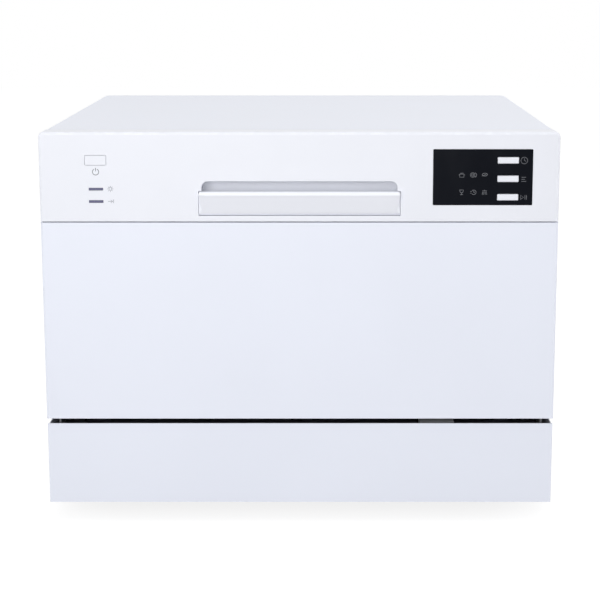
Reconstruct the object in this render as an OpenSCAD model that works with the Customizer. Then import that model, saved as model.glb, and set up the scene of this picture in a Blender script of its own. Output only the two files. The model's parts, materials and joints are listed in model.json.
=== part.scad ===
// Countertop dishwasher for six place settings.
// Origin: centre of the footprint, on the counter. +Z is up, the door faces -Y.
// All sizes are millimetres.

/* [Overall] */
// Width over the cabinet and the door
body_w = 550; // [500:5:660]
// Depth from the handle lip to the tip of the water connection
body_d = 500; // [450:5:600]
// Height from the counter to the top
body_h = 430; // [400:5:520]
// Height of the cabinet's bottom edge above the counter
foot_h = 22; // [14:1:36]

/* [Front] */
// Height of the kick plate
kick_h = 89.5; // [75:0.5:108]
// Open gap between the kick plate and the door
kick_gap = 6.5; // [5:0.5:8]
// How far the kick plate stands behind the door's face
kick_setback = 4; // [2:0.5:8]
// Height of the control fascia
fascia_h = 95.5; // [90:0.5:115]
// Seam between the fascia and the door skin
seam_gap = 1; // [0.5:0.1:2]
// Thickness of the door from its face to the back of its skin
door_t = 28; // [27:0.5:34]
// Gap between the door and the cabinet
door_gap = 2; // [1.6:0.1:4]
// How far the handle lip stands out of the fascia
handle_proud = 7; // [4:0.5:9]
// How far the connections stand out of the back panel
rear_proud = 12; // [10:1:20]

/* [Hinge] */
// Hinge axis behind the door's face
hinge_in = 15; // [14:0.5:17]
// Hinge axis above the kick plate's top edge
hinge_up = 16; // [15:0.5:18]
// Radius of the hinge pins
hinge_pin_r = 4; // [3:0.5:5]

/* [Walls] */
// Painted steel of the cabinet and the door
sheet_t = 1; // [0.8:0.1:1.5]
// Stainless steel of the tub
tub_t = 1; // [0.8:0.1:1.5]
// Tub floor
floor_t = 2; // [1.5:0.5:4]
// Moulded plastic of the fascia
wall_t = 2.5; // [2:0.1:3]
// Stainless steel of the door liner
liner_t = 0.8; // [0.6:0.1:1]
// Outer radius of the cabinet's upper edges
corner_r = 8; // [4:1:14]
// Radius of the tub's upper edges
tub_r = 18; // [12:1:30]

/* [Tub] */
// Gap between the cabinet's sides and the tub
side_gap = 26; // [25:0.5:34]
// Gap between the cabinet's top and the tub
roof_gap = 20; // [19:0.5:28]
// Gap between the back panel and the tub
back_gap = 30; // [25:1:50]
// How far the door liner's plug reaches into the tub
plug_out = 10; // [8:0.5:12]
// Width of the gasket between the plug and the tub wall
gasket_w = 8; // [6:0.5:9]
// Height of the rails above the tub floor
rail_h = 10.5; // [10:0.5:16]

/* [Controls] */
// Width of the black control window
window_w = 105.4; // [90:0.1:120]
// Height of the black control window
window_h = 59.7; // [58:0.1:70]
// Gap from the window to the door's right edge
window_inset = 28.6; // [20:0.1:60]
// Gap from the window to the top of the fascia
window_drop = 18.2; // [10:0.1:24]
// Width of a button cap
button_w = 23; // [18:0.5:26]
// Height of the power button's cap
power_h = 10.8; // [8:0.1:12]
// Height of a program button's cap
button_h = 7.4; // [6:0.1:9]
// Distance between the program buttons
button_pitch = 19.6; // [14:0.1:21]
// Travel of a button
button_travel = 1.2; // [0.6:0.1:1.6]
// Centre of the power button from the door's left edge
power_inset = 60; // [50:1:90]
// Centre of the power button below the fascia's top
power_drop = 30; // [24:0.5:36]
// Width of an indicator lamp
lamp_w = 15.3; // [10:0.1:20]
// Height of an indicator lamp
lamp_h = 3; // [2:0.1:5]

/* [Handle] */
// Width of the finger slot
slot_w = 207; // [150:1:240]
// Upper edge of the finger slot below the fascia's top
slot_drop = 52.7; // [45:0.1:56]
// Height of the opening that holds the slot and the handle
pocket_h = 36.6; // [34:0.1:40]
// Height of the handle
handle_h = 26.6; // [22:0.1:28]
// Depth of the pocket behind the fascia's face
pocket_depth = 20; // [16:0.5:21]

/* [Rack] */
// Wire radius of the rack
wire_r = 1.7; // [1.5:0.1:2.2]
// Gap from the rack to the tub's sides
rack_side_gap = 19; // [18:0.5:26]
// Gap from the rack to the closed door
rack_front_gap = 30; // [28:1:60]
// Height of the rack's rim above its floor
rack_h = 92; // [70:1:110]
// Height of a plate tine
tine_h = 55; // [40:1:70]
// Distance between tines along a row
tine_pitch = 26; // [22:1:34]
// Radius of a rack wheel
wheel_r = 12; // [10:0.5:14]
// Radius of a rack wheel's axle
axle_r = 3; // [2.5:0.5:4]

/* [Cutlery basket] */
// Width of the cutlery basket
cutlery_w = 72; // [60:1:80]
// Length of the cutlery basket
cutlery_l = 220; // [160:5:240]
// Height of the cutlery basket
cutlery_h = 105; // [80:1:115]
// Number of compartments
cutlery_cells = 3; // [2:1:4]

/* [Wash system] */
// Length of one spray arm blade
arm_l = 198; // [120:1:205]
// Thickness of the spray arm
arm_t = 9; // [7:0.5:9.5]
// Radius of the spray arm's bearing
bearing_r = 9; // [7:0.5:11]
// Radius of the coarse filter
filter_r = 34; // [30:0.5:40]
// Radius of the wash motor
motor_r = 34; // [28:0.5:36]

/* [Connections] */
// Radius of the water inlet's 3/4 inch thread
inlet_r = 13.2; // [9:0.1:16]
// Radius of the drain spigot
drain_r = 9.5; // [8:0.5:12]
// Radius of the hole for the power cord
cord_r = 3.8; // [3:0.1:5]
// Height of the connections above the counter
connection_z = 62; // [56:1:80]

/* [Hidden] */
$fn = 48;
fit = 0.3;             // gap between parts that are assembled together
run = 0.05;            // gap between a shaft and its bore

half_w = body_w / 2;
y_front = -body_d / 2 + handle_proud;
y_door_back = y_front + door_t;
y_case = y_door_back + door_gap;
y_rear = body_d / 2 - rear_proud;
y_kick = y_front + kick_setback;
kick_top = foot_h + kick_h;
skin_bottom = kick_top + kick_gap;
fascia_bottom = body_h - fascia_h;
skin_top = fascia_bottom - seam_gap;
hinge_y = y_front + hinge_in;
hinge_z = kick_top + hinge_up;
inner_half = half_w - sheet_t;                    // inside of the cabinet's side
tub_half = inner_half - side_gap - tub_t;         // inside of the tub's side
tub_top = body_h - sheet_t - roof_gap - tub_t;    // inside of the tub's ceiling
tub_back_y = y_rear - sheet_t - back_gap - tub_t; // inside of the tub's back
tub_front_y = y_case + sheet_t;
plug_y = y_door_back + plug_out;
rail_top = hinge_z + plug_y - hinge_y;            // level of the open door's liner
floor_z = rail_top - rail_h;
base_top = floor_z - floor_t;
tray_z = foot_h + sheet_t;
tray_t = 3;
tray_half = inner_half - fit;
tray_front = y_kick + sheet_t + fit;
tray_back = y_rear - 2 * sheet_t - fit;
tray_inside_z = tray_z + tray_t;
ledge_z = kick_top - 11.5;          // dark ledge behind the kick plate

plug_half = tub_half - gasket_w - 3;
plug_bottom = floor_z + 6;
plug_top = tub_top - gasket_w - 1.5;
liner_bottom = hinge_z + 10.5;
liner_top = body_h - 4;
notch_half = tub_half + 3;         // the liner is this wide beside the hinges
notch_z = hinge_z + 37;            // height of the hinge notches
lug_r = hinge_pin_r + 3.5;
bracket_x = [tub_half + 17.5, tub_half + 20];
arm_x = [tub_half + 12, tub_half + 15];
spring_x = tub_half + 9;
spring_up = 16;                    // spring hook above the hinge axis
spring_back = 10;                  // spring hook behind the hinge axis
spring_r = 5;
spring_wire_r = 1.2;
spring_end_y = y_case + 110;

slot_top = body_h - slot_drop;
pocket_bottom = slot_top - pocket_h;
pocket_t = 2;
pin_r = 2;
handle_axis_y = y_front + 6;
handle_axis_z = pocket_bottom + 5;
flare = 3.5;                       // how much wider the handle's foot is on each side

window_x = [half_w - window_inset - window_w, half_w - window_inset];
window_z = [body_h - window_drop - window_h, body_h - window_drop];
window_t = 1.8;
button_x = window_x[1] - 26.2;
button_z = [for (i = [0:2]) window_z[1] - 11.9 - i * button_pitch];
power_x = -half_w + power_inset;
power_z = body_h - power_drop;
lamp_x = power_x;
lamp_z = [power_z - 30.7, power_z - 43.9];
board_y = y_front + 11;
board_t = 1.6;
screen_x = [window_x[0] + 24, window_x[0] + 60];
screen_z = [window_z[1] - 20, window_z[1] - 6];

dispenser_x = [-80, 80];
dispenser_h = 110;
dispenser_drop = 5;                // below the fascia
dispenser_z = [fascia_bottom - dispenser_drop - dispenser_h, fascia_bottom - dispenser_drop];
dispenser_face = plug_y + 3;
dispenser_depth = 24;
cup_x = [8, 64];
cup_z = [dispenser_z[1] - 52, dispenser_z[1] - 8];
cap_x = -42;
cap_z = (dispenser_z[0] + dispenser_z[1]) / 2;
cap_r = 18;

latch_y = y_front + 17;
latch_z = body_h - 11;
striker_y = y_case + 9;
striker_r = 2;
striker_z = latch_z - 3;
link_y = [y_door_back - 4.5, y_door_back - 1.5]; // the link that joins the handle to the latch

axle_z = rail_top + wheel_r + fit;
rack_floor = axle_z + 7.5;
rack_half = tub_half - rack_side_gap;
rack_front = plug_y + rack_front_gap;
rack_back = tub_back_y - 12;
rim_z = rack_floor + rack_h;
rim_r = wire_r + 0.5;
wheel_x = [tub_half - 11, tub_half - 4];
axle_y = [rack_front + 50, rack_back - 50];
tine_x0 = -rack_half + 122;
cutlery_x = [rack_half - wire_r - 2.3 - cutlery_w, rack_half - wire_r - 2.3];
cutlery_y = [rack_front + 10, rack_front + 10 + cutlery_l];
cutlery_z = rack_floor + wire_r + fit;
cutlery_wall = 2.4;
shelf_z = rack_floor + 130;
shelf_x = -rack_half + 8;
shelf_w = 104;
shelf_y = [(rack_front + rack_back) / 2 - 120, (rack_front + rack_back) / 2 + 120];

arm_z = floor_z + 12.5;
arm_y = (tub_front_y + tub_back_y) / 2 + 3;
filter_x = filter_r + 28;
filter_y = arm_y - 100;
filter_gap = 1;
sump_r = filter_r + filter_gap + 6;
sump_wall = 2.5;
sump_z = [base_top - 62, base_top];
motor_z = sump_z[0] + 20;
volute_r = 38;
volute_x = [-12, 12];
pipe_r = 10;
pipe_z = motor_z + 20;
float_x = -tub_half + 62;
float_y = tub_front_y + 62;
float_r = 13;

inlet_x = -half_w + 85;
drain_x = filter_x + 35;
cord_x = half_w - 75;
neck = 0.2;            // the connections are this much thinner up to this far behind the back panel
screw_r = 1.7;
head_r = 4;

// ---------- Shapes that are used again ----------

// A block between two values on each axis
module block(x, y, z) {
    translate([x[0], y[0], z[0]]) cube([x[1] - x[0], y[1] - y[0], z[1] - z[0]]);
}

// Straight rods along each axis
module rod_x(x, y, z, r) {
    translate([x[0], y, z]) rotate([0, 90, 0]) cylinder(r = r, h = x[1] - x[0]);
}
module rod_y(x, y, z, r) {
    translate([x, y[1], z]) rotate([90, 0, 0]) cylinder(r = r, h = y[1] - y[0]);
}
module rod_z(x, y, z, r) {
    translate([x, y, z[0]]) cylinder(r = r, h = z[1] - z[0]);
}

// A drawing in X and Z, extruded along Y
module along_y(y) {
    translate([0, y[1], 0]) rotate([90, 0, 0]) linear_extrude(y[1] - y[0]) children();
}

// A drawing in Y and Z, extruded along X
module along_x(x) {
    translate([x[0], 0, 0]) rotate([90, 0, 90]) linear_extrude(x[1] - x[0]) children();
}

// Both sides of the machine
module both_sides() {
    children();
    mirror([1, 0, 0]) children();
}

// A rectangle with four round corners
module round_rect(x, y, r) {
    translate([x[0] + r, y[0]]) square([x[1] - x[0] - 2 * r, y[1] - y[0]]);
    translate([x[0], y[0] + r]) square([x[1] - x[0], y[1] - y[0] - 2 * r]);
    for (a = [x[0] + r, x[1] - r], b = [y[0] + r, y[1] - r]) translate([a, b]) circle(r);
}

// A rectangle whose two upper corners are round
module arch(half, bottom, top, r) {
    translate([-half, bottom]) square([2 * half, top - bottom - r]);
    translate([-half + r, bottom]) square([2 * half - 2 * r, top - bottom]);
    for (s = [-1, 1]) translate([s * (half - r), top - r]) circle(r);
}

// A slab with round corners that faces the front
module face_slab(x, y, z, r) {
    along_y(y) round_rect(x, z, r);
}

// ---------- Cabinet ----------

module cabinet_wrap() {
    color("white") difference() {
        union() {
            along_y([y_case, y_rear - sheet_t]) difference() {
                arch(half_w, foot_h, body_h, corner_r);
                arch(inner_half, foot_h - 1, body_h - sheet_t, corner_r - sheet_t);
            }
            both_sides() block([inner_half - 15, inner_half], [y_case, y_rear - sheet_t], [foot_h, tray_z]);
            along_y([y_rear - 2 * sheet_t, y_rear - sheet_t]) difference() {
                arch(inner_half, tray_z, body_h - sheet_t, corner_r - sheet_t);
                arch(inner_half - 12, tray_z - 1, body_h - sheet_t - 12, corner_r);
            }
        }
        back_screw_holes();
    }
}

// Places of the screws in the back panel, as X and Z
function back_screws() = concat(
    [for (s = [-1, 1], t = [0.15, 0.5, 0.85]) [s * (inner_half - 6), tray_z + t * (body_h - tray_z)]],
    [for (t = [-0.66, -0.22, 0.22, 0.66]) [t * half_w, body_h - sheet_t - 6]]
);
module back_screw_holes() {
    for (p = back_screws()) rod_y(p[0], [y_rear - 12, y_rear + 3], p[1], screw_r);
}

module back_panel() {
    color("gainsboro") difference() {
        union() {
            along_y([y_rear - sheet_t, y_rear])
                arch(half_w - 0.5, tray_z, body_h - 0.5, corner_r - 0.5);
            for (z = [0.45, 0.6, 0.75])
                block([-half_w * 0.7, half_w * 0.7], [y_rear, y_rear + 2], [body_h * z, body_h * z + 9]);
        }
        back_screw_holes();
        rod_y(inlet_x, [y_rear - 5, y_rear + 5], connection_z, inlet_r + fit);
        rod_y(drain_x, [y_rear - 5, y_rear + 5], connection_z, drain_r + fit);
        rod_y(cord_x, [y_rear - 5, y_rear + 5], connection_z, 9);
        for (i = [0:7]) // air slots
            block([half_w * 0.25 + i * 12, half_w * 0.25 + i * 12 + 5],
                  [y_rear - 5, y_rear + 5], [connection_z + 30, connection_z + 60]);
    }
}

module cabinet_screws() {
    color("silver") for (p = back_screws()) {
        rod_y(p[0], [y_rear, y_rear + 2.2], p[1], head_r);
        rod_y(p[0], [y_rear - 9, y_rear], p[1], screw_r);
    }
}

post_x = half_w - 50;
post_y = [y_case + 43, tub_back_y - 26];
cradle_x = [-104, -60];
module base_tray() {
    wall_top = connection_z - inlet_r - 6; // stays below the connections
    color("dimgray") {
        block([-tray_half, tray_half], [tray_front, tray_back], [tray_z, tray_inside_z]);
        block([-tray_half, tray_half], [tray_front, tray_front + tray_t], [tray_z, ledge_z]);
        block([-bracket_x[0] + 1, bracket_x[0] - 1], [tray_front, y_case + 25],
              [ledge_z - tray_t, ledge_z]);
        block([-tray_half, tray_half], [tray_back - tray_t, tray_back], [tray_z, wall_top]);
        both_sides() block([tray_half - tray_t, tray_half], [tray_front, tray_back],
                           [tray_z, wall_top]);
        both_sides() for (y = post_y)
            block([post_x - 8, post_x + 8], [y - 8, y + 8], [tray_z, base_top]);
        for (x = cradle_x)
            block([x - 2, x + 2], [filter_y - 16, filter_y + 16], [tray_z, motor_z - motor_r - fit]);
    }
}

// Lowest point that the door's lower edge reaches while the door swings
sweep_z = hinge_z - norm([hinge_in, hinge_up - kick_gap]);
module kick_plate() {
    color("white") {
        block([-half_w, half_w], [y_kick, y_kick + sheet_t], [foot_h, kick_top]);
        both_sides() block([inner_half, half_w], [y_kick, y_case - fit], [foot_h, sweep_z - 1]);
        block([-half_w, half_w], [y_kick, y_case - fit], [foot_h, tray_z]);
    }
}

module foot() {
    rotate_extrude() polygon([
        [0, 0], [15, 0], [17, 2], [17, foot_h * 0.55], [12, foot_h * 0.7], [12, tray_z], [0, tray_z]
    ]);
}
module feet() {
    color("dimgray") both_sides() for (y = [y_kick + 82, y_rear - 50])
        translate([half_w - 60, y, 0]) foot();
}

// ---------- Tub ----------

module tub_frame() {
    outer_half = inner_half - fit;
    bottom = hinge_z + 0.5;
    color("gainsboro") difference() {
        along_y([y_case, tub_front_y]) difference() {
            arch(outer_half, bottom, body_h - sheet_t - fit, corner_r - sheet_t);
            arch(tub_half, floor_z, tub_top, tub_r);
            both_sides_2d() translate([notch_half + 3, bottom - 1]) square([50, notch_z - 7 - bottom + 1]);
            translate([-10.5, latch_z - 5]) square([21, 13.5]);
        }
    }
}
module both_sides_2d() {
    children();
    mirror([1, 0]) children();
}

module tub_wrap() {
    color("silver") along_y([tub_front_y, tub_back_y]) difference() {
        arch(tub_half + tub_t, floor_z, tub_top + tub_t, tub_r + tub_t);
        arch(tub_half, floor_z - 1, tub_top, tub_r);
    }
}

module tub_back() {
    color("silver") along_y([tub_back_y, tub_back_y + tub_t])
        arch(tub_half + tub_t, floor_z, tub_top + tub_t, tub_r + tub_t);
}

module tub_floor() {
    color("silver") difference() {
        block([-tub_half - tub_t, tub_half + tub_t], [tub_front_y, tub_back_y + tub_t],
              [base_top, floor_z]);
        rod_z(filter_x, filter_y, [base_top - 1, floor_z + 1], filter_r + filter_gap + 2);
        rod_z(0, arm_y, [base_top - 1, floor_z + 1], pipe_r + fit);
        rod_z(float_x, float_y, [base_top - 1, floor_z + 1], 4);
    }
}

module gasket_ring(y, near, far) {
    along_y(y) difference() {
        arch(tub_half - near, floor_z + 14, tub_top - near, tub_r - near);
        arch(tub_half - far, floor_z + 13, tub_top - far, tub_r - far);
    }
}
module door_gasket() {
    nose_y = y_door_back + liner_t + fit;
    color("gray") {
        gasket_ring([y_case + 3, y_case + 13], 0, gasket_w);
        gasket_ring([nose_y, y_case + 3], 1.5, gasket_w - 1.5);
        block([-tub_half + 10, tub_half - 10], [nose_y, y_case],
              [liner_bottom - 3, liner_bottom + 1.5]); // seal along the sill
    }
}

module rack_rails() {
    color("silver") both_sides() {
        block([tub_half - 13.5, tub_half], [y_case + 23, tub_back_y - 10], [rail_top - 3, rail_top]);
        block([tub_half - 1.5, tub_half], [y_case + 23, tub_back_y - 10], [rail_top - 9, rail_top]);
    }
}

// ---------- Wash system ----------

module sump() {
    color("dimgray") difference() {
        union() {
            rod_z(filter_x, filter_y, [sump_z[0], sump_z[1]], sump_r);
            rod_z(filter_x, filter_y, [sump_z[1] - 4, sump_z[1]], sump_r + 8);
            rod_x([volute_x[1] + fit, filter_x], filter_y, motor_z, pipe_r + 3);
            rod_y(filter_x, [filter_y, filter_y + sump_r + 6], motor_z, pipe_r + 3);
        }
        rod_z(filter_x, filter_y, [sump_z[0] + sump_wall, sump_z[1] + 1], sump_r - sump_wall);
        rod_x([volute_x[1], filter_x], filter_y, motor_z, pipe_r);
        rod_y(filter_x, [filter_y, filter_y + sump_r + 7], motor_z, pipe_r);
    }
}

module filter_plate() {
    color("silver") difference() {
        along_z([floor_z, floor_z + 1])
            round_rect([filter_x - filter_r - 16, filter_x + filter_r + 34],
                       [filter_y - filter_r - 26, filter_y + filter_r + 22], 10);
        rod_z(filter_x, filter_y, [floor_z - 1, floor_z + 2], filter_r + filter_gap);
    }
}
module along_z(z) {
    translate([0, 0, z[0]]) linear_extrude(z[1] - z[0]) children();
}

module coarse_filter() {
    top = floor_z + 5;
    depth = 44;
    windows = 8;
    color("gray") difference() {
        union() {
            difference() {
                union() {
                    rod_z(filter_x, filter_y, [top - depth, top], filter_r);
                    rod_z(filter_x, filter_y, [floor_z + 1 + fit, top], filter_r + 4);
                }
                rod_z(filter_x, filter_y, [top - depth + 2, top + 1], filter_r - 2.2);
            }
            block([filter_x - filter_r + 1, filter_x + filter_r - 1], [filter_y - 2, filter_y + 2],
                  [top - 14, top + 2.5]); // bar to turn it by
        }
        for (i = [0:windows - 1])
            translate([filter_x, filter_y, 0]) rotate([0, 0, (i + 0.5) * 360 / windows])
                block([filter_r - 5, filter_r + 1], [-7, 7], [top - depth + 8, floor_z - 8]);
    }
}

module spray_post() {
    color("dimgray") difference() {
        union() {
            rod_z(0, arm_y, [floor_z, floor_z + 3], 24);
            rod_z(0, arm_y, [base_top - 6, arm_z - 1], pipe_r - fit);
            rod_z(0, arm_y, [floor_z + 3, arm_z - 1], 14);
            rod_z(0, arm_y, [arm_z - 1, arm_z + arm_t - 3], bearing_r);
        }
        rod_z(0, arm_y, [base_top - 7, arm_z + arm_t - 2], bearing_r - 3);
    }
}

module arm_outline() {
    tip_r = 9;
    circle(24);
    for (s = [0, 180]) rotate([0, 0, s]) {
        polygon([
            [0, -20], [arm_l * 0.4, -13], [arm_l - tip_r, -tip_r],
            [arm_l - tip_r, tip_r], [arm_l * 0.4, 16], [0, 22]
        ]);
        translate([arm_l - tip_r, 0]) circle(tip_r);
    }
}
module spray_arm() {
    bottom = arm_z - 0.7;
    color("silver") translate([0, arm_y, 0]) difference() {
        union() {
            along_z([bottom, bottom + arm_t - 1.5]) arm_outline();
            rod_z(0, 0, [bottom, bottom + arm_t], 22);
        }
        rod_z(0, 0, [bottom - 1, arm_z + arm_t - 3 + fit], bearing_r + run);
        for (s = [-1, 1], i = [0:4])
            rod_z(s * (arm_l * 0.3 + i * arm_l * 0.15), s * (i % 2 == 0 ? 3 : -3),
                  [arm_z + 2, arm_z + arm_t], 1.6);
    }
}

module pump_volute() {
    color("dimgray") difference() {
        union() {
            rod_x(volute_x, filter_y, motor_z, volute_r);
            rod_y(0, [filter_y, filter_y + volute_r + 4], pipe_z, pipe_r + 1.5);
        }
        rod_x([volute_x[0] + 5, volute_x[1] - 4], filter_y, motor_z, volute_r - 6);
        rod_x([0, volute_x[1] + 1], filter_y, motor_z, pipe_r);
        rod_x([volute_x[0] - 1, 0], filter_y, motor_z, 4 + run);
        rod_y(0, [filter_y + 10, filter_y + volute_r + 5], pipe_z, pipe_r - 2);
    }
}

module pump_motor() {
    color("silver") difference() {
        union() {
            rod_x([volute_x[0] - 96, volute_x[0]], filter_y, motor_z, motor_r);
            block([volute_x[0] - 80, volute_x[0] - 40], [filter_y - 14, filter_y + 14],
                  [motor_z, motor_z + motor_r + 6]); // terminal block
        }
        rod_x([volute_x[0] - 90, volute_x[0] + 1], filter_y, motor_z, 4 + run);
    }
}

module pump_impeller() {
    blades = 6;
    color("white") {
        rod_x([volute_x[0] - 88, volute_x[0] + 16], filter_y, motor_z, 4);
        rod_x([volute_x[0] + 6, volute_x[0] + 8], filter_y, motor_z, volute_r - 9);
        for (i = [0:blades - 1])
            translate([0, filter_y, motor_z]) rotate([i * 360 / blades, 0, 0])
                block([volute_x[0] + 8, volute_x[0] + 16], [-1, 1], [3, volute_r - 9.5]);
    }
}

module delivery_pipe() {
    start = filter_y + volute_r + 4;
    color("dimgray") difference() {
        union() {
            rod_y(0, [start, arm_y], pipe_z, pipe_r - 0.5);
            translate([0, arm_y, pipe_z]) sphere(pipe_r - 0.5);
            rod_z(0, arm_y, [pipe_z, base_top - 6], pipe_r - 0.5);
        }
        rod_y(0, [start - 1, arm_y], pipe_z, pipe_r - 3);
        translate([0, arm_y, pipe_z]) sphere(pipe_r - 3);
        rod_z(0, arm_y, [pipe_z, base_top - 5], pipe_r - 3);
    }
}

module flow_heater() {
    start = filter_y + volute_r + 8;
    color("silver") difference() {
        rod_y(0, [start, arm_y - 16], pipe_z, pipe_r + 6);
        rod_y(0, [start - 1, arm_y - 15], pipe_z, pipe_r - 0.5 + fit);
    }
}

drain_y = filter_y + sump_r + 6 + fit;
module drain_pump() {
    color("dimgray") {
        rod_y(filter_x, [drain_y, drain_y + 52], motor_z, 19);
        rod_y(filter_x, [drain_y + 52, drain_y + 64], motor_z, 12);
        rod_x([filter_x, filter_x + 24], drain_y + 14, motor_z, 8);
    }
}

module drain_hose() {
    y0 = drain_y + 14;
    x0 = filter_x + 24;
    bore = drain_r - 3;
    color("gray") difference() {
        union() {
            rod_x([x0, drain_x], y0, motor_z, drain_r - 1);
            translate([drain_x, y0, motor_z]) sphere(drain_r - 1);
            rod_y(drain_x, [y0, tray_back - 40], motor_z, drain_r - 1);
            translate([drain_x, tray_back - 40, motor_z]) sphere(drain_r - 1);
            rod_z(drain_x, tray_back - 40, [min(motor_z, connection_z), max(motor_z, connection_z)],
                  drain_r - 1);
            translate([drain_x, tray_back - 40, connection_z]) sphere(drain_r - 1);
            rod_y(drain_x, [tray_back - 40, y_rear + neck], connection_z, drain_r - neck);
            rod_y(drain_x, [y_rear + neck, y_rear + rear_proud - 2], connection_z, drain_r);
            rod_y(drain_x, [y_rear - sheet_t - 5, y_rear - sheet_t - 0.5], connection_z, drain_r + 3);
        }
        rod_y(drain_x, [tray_back - 30, y_rear + rear_proud], connection_z, bore);
    }
}

module inlet_valve() {
    x = [inlet_x - 16, inlet_x + 16];
    color("white") difference() {
        union() {
            block(x, [tray_back - 48, tray_back - 6], [tray_inside_z, connection_z + 20]);
            rod_y(inlet_x, [tray_back - 10, y_rear + neck], connection_z, inlet_r - neck);
            rod_y(inlet_x, [y_rear + neck, y_rear + rear_proud], connection_z, inlet_r);
            rod_y(inlet_x, [y_rear - sheet_t - 4, y_rear - sheet_t - 0.3], connection_z, inlet_r + 3);
        }
        rod_y(inlet_x, [y_rear - 10, y_rear + rear_proud + 1], connection_z, inlet_r - 3.5);
    }
}

inlet_hose_r = 6.5;
brake_x = [-tub_half - tub_t - 19, -tub_half - tub_t];
brake_z = [floor_z + 44, tub_top - 30];
brake_y = [tub_back_y - 180, tub_back_y - 8];
module inlet_hose() {
    y0 = brake_y[1] - 40;
    y1 = tray_back - 28;
    x1 = (brake_x[0] + brake_x[1]) / 2;
    turn_z = base_top - 34;
    color("gray") {
        rod_z(inlet_x, y1, [connection_z + 20, turn_z], inlet_hose_r);
        translate([inlet_x, y1, turn_z]) sphere(inlet_hose_r);
        rod_y(inlet_x, [y0, y1], turn_z, inlet_hose_r);
        translate([inlet_x, y0, turn_z]) sphere(inlet_hose_r);
        rod_x([x1, inlet_x], y0, turn_z, inlet_hose_r);
        translate([x1, y0, turn_z]) sphere(inlet_hose_r);
        rod_z(x1, y0, [turn_z, brake_z[0]], inlet_hose_r);
    }
}

module air_brake() {
    color("white") difference() {
        block(brake_x, brake_y, brake_z);
        for (i = [0:2]) // moulded water channels
            block([brake_x[0] - 1, brake_x[0] + 3], [brake_y[0] + 14, brake_y[1] - 14],
                  [brake_z[0] + 30 + i * 44, brake_z[0] + 54 + i * 44]);
    }
}

module control_box() {
    x = [half_w - 155, half_w - 75];
    y = [tray_back - 150, tray_back - 40];
    color("white") {
        block(x, y, [tray_inside_z, tray_inside_z + 32]);
        block([x[0] + 8, x[1] - 8], [y[0] + 8, y[1] - 8], [tray_inside_z + 32, tray_inside_z + 38]);
    }
}

module cord_gland() {
    color("dimgray") difference() {
        union() {
            rod_y(cord_x, [y_rear - 14, y_rear + 4], connection_z, 9 - fit);
            rod_y(cord_x, [y_rear + fit, y_rear + 4], connection_z, 12);
            rod_y(cord_x, [y_rear - 14, y_rear - sheet_t - fit], connection_z, 11);
        }
        rod_y(cord_x, [y_rear - 15, y_rear + 5], connection_z, cord_r);
    }
}

module float_cup() {
    color("white") {
        rod_z(float_x, float_y, [floor_z + fit, floor_z + 3], float_r - 4);
        rod_z(float_x, float_y, [floor_z + 3, floor_z + 13], float_r);
        rod_z(float_x, float_y, [base_top - 14, floor_z + 3], 3.5);
    }
}

// ---------- Rack ----------

// Octagonal wires, so that crossings stay flat-faced
module wire_x(x, y, z, r = wire_r) {
    translate([x[0], y, z]) rotate([0, 90, 0]) cylinder(r = r, h = x[1] - x[0], $fn = 8);
}
module wire_y(x, y, z, r = wire_r) {
    translate([x, y[1], z]) rotate([90, 0, 0]) cylinder(r = r, h = y[1] - y[0], $fn = 8);
}
module wire_z(x, y, z, r = wire_r) {
    translate([x, y, z[0]]) cylinder(r = r, h = z[1] - z[0], $fn = 8);
}
// A horizontal wire that runs round the rack
module wire_loop(z, r) {
    wire_x([-rack_half - r, rack_half + r], rack_front, z, r);
    wire_x([-rack_half - r, rack_half + r], rack_back, z, r);
    wire_y(-rack_half, [rack_front, rack_back], z, r);
    wire_y(rack_half, [rack_front, rack_back], z, r);
}

long_wires = 12;    // floor wires that run front to back
cross_wires = 7;    // floor wires that run side to side
tine_rows = 4;
function spread(a, b, n) = [for (i = [0:n - 1]) a + (b - a) * i / (n - 1)];

module rack_floor_wires() {
    weld = wire_r * 1.3;
    for (x = spread(-rack_half, rack_half, long_wires))
        wire_y(x, [rack_front, rack_back], rack_floor);
    for (y = spread(rack_front, rack_back, cross_wires))
        wire_x([-rack_half, rack_half], y, rack_floor - weld);
}
module rack_uprights() {
    bottom = rack_floor - wire_r;
    for (x = spread(-rack_half, rack_half, long_wires), y = [rack_front, rack_back])
        wire_z(x, y, [bottom, rim_z]);
    for (y = spread(rack_front, rack_back, cross_wires), s = [-1, 1])
        wire_z(s * rack_half, y, [bottom, rim_z]);
}
tine_y = spread(rack_front + 55, rack_back - 40, tine_rows);
tine_count = floor((cutlery_x[0] - 14 - tine_x0) / tine_pitch) + 1;
module rack_tines() {
    for (y = tine_y) {
        wire_x([tine_x0 - 12, cutlery_x[0] - 6], y, rack_floor + wire_r * 1.3);
        for (i = [0:tine_count - 1])
            wire_z(tine_x0 + i * tine_pitch, y, [rack_floor, rack_floor + tine_h]);
    }
}
// Plastic clips on the rack's lowest side wires that carry the wheels
module wheel_carrier(y) {
    both_sides() {
        difference() {
            block([rack_half - 3, rack_half + 4], [y - 9, y + 9], [axle_z - 6, axle_z + 22]);
            block([rack_half - 4, rack_half + 1], [y - 5, y + 5], [axle_z + 6, axle_z + 16]);
            wire_y(rack_half, [y - 10, y + 10], rack_floor, wire_r + 2 * run);
        }
        rod_x([rack_half, wheel_x[1] + 0.6], y, axle_z, axle_r);
        rod_x([wheel_x[1] + 0.6, wheel_x[1] + 2], y, axle_z, axle_r + 1.5);
    }
}
module wheel_carriers() {
    color("lightgray") for (y = axle_y) wheel_carrier(y);
}
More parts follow.
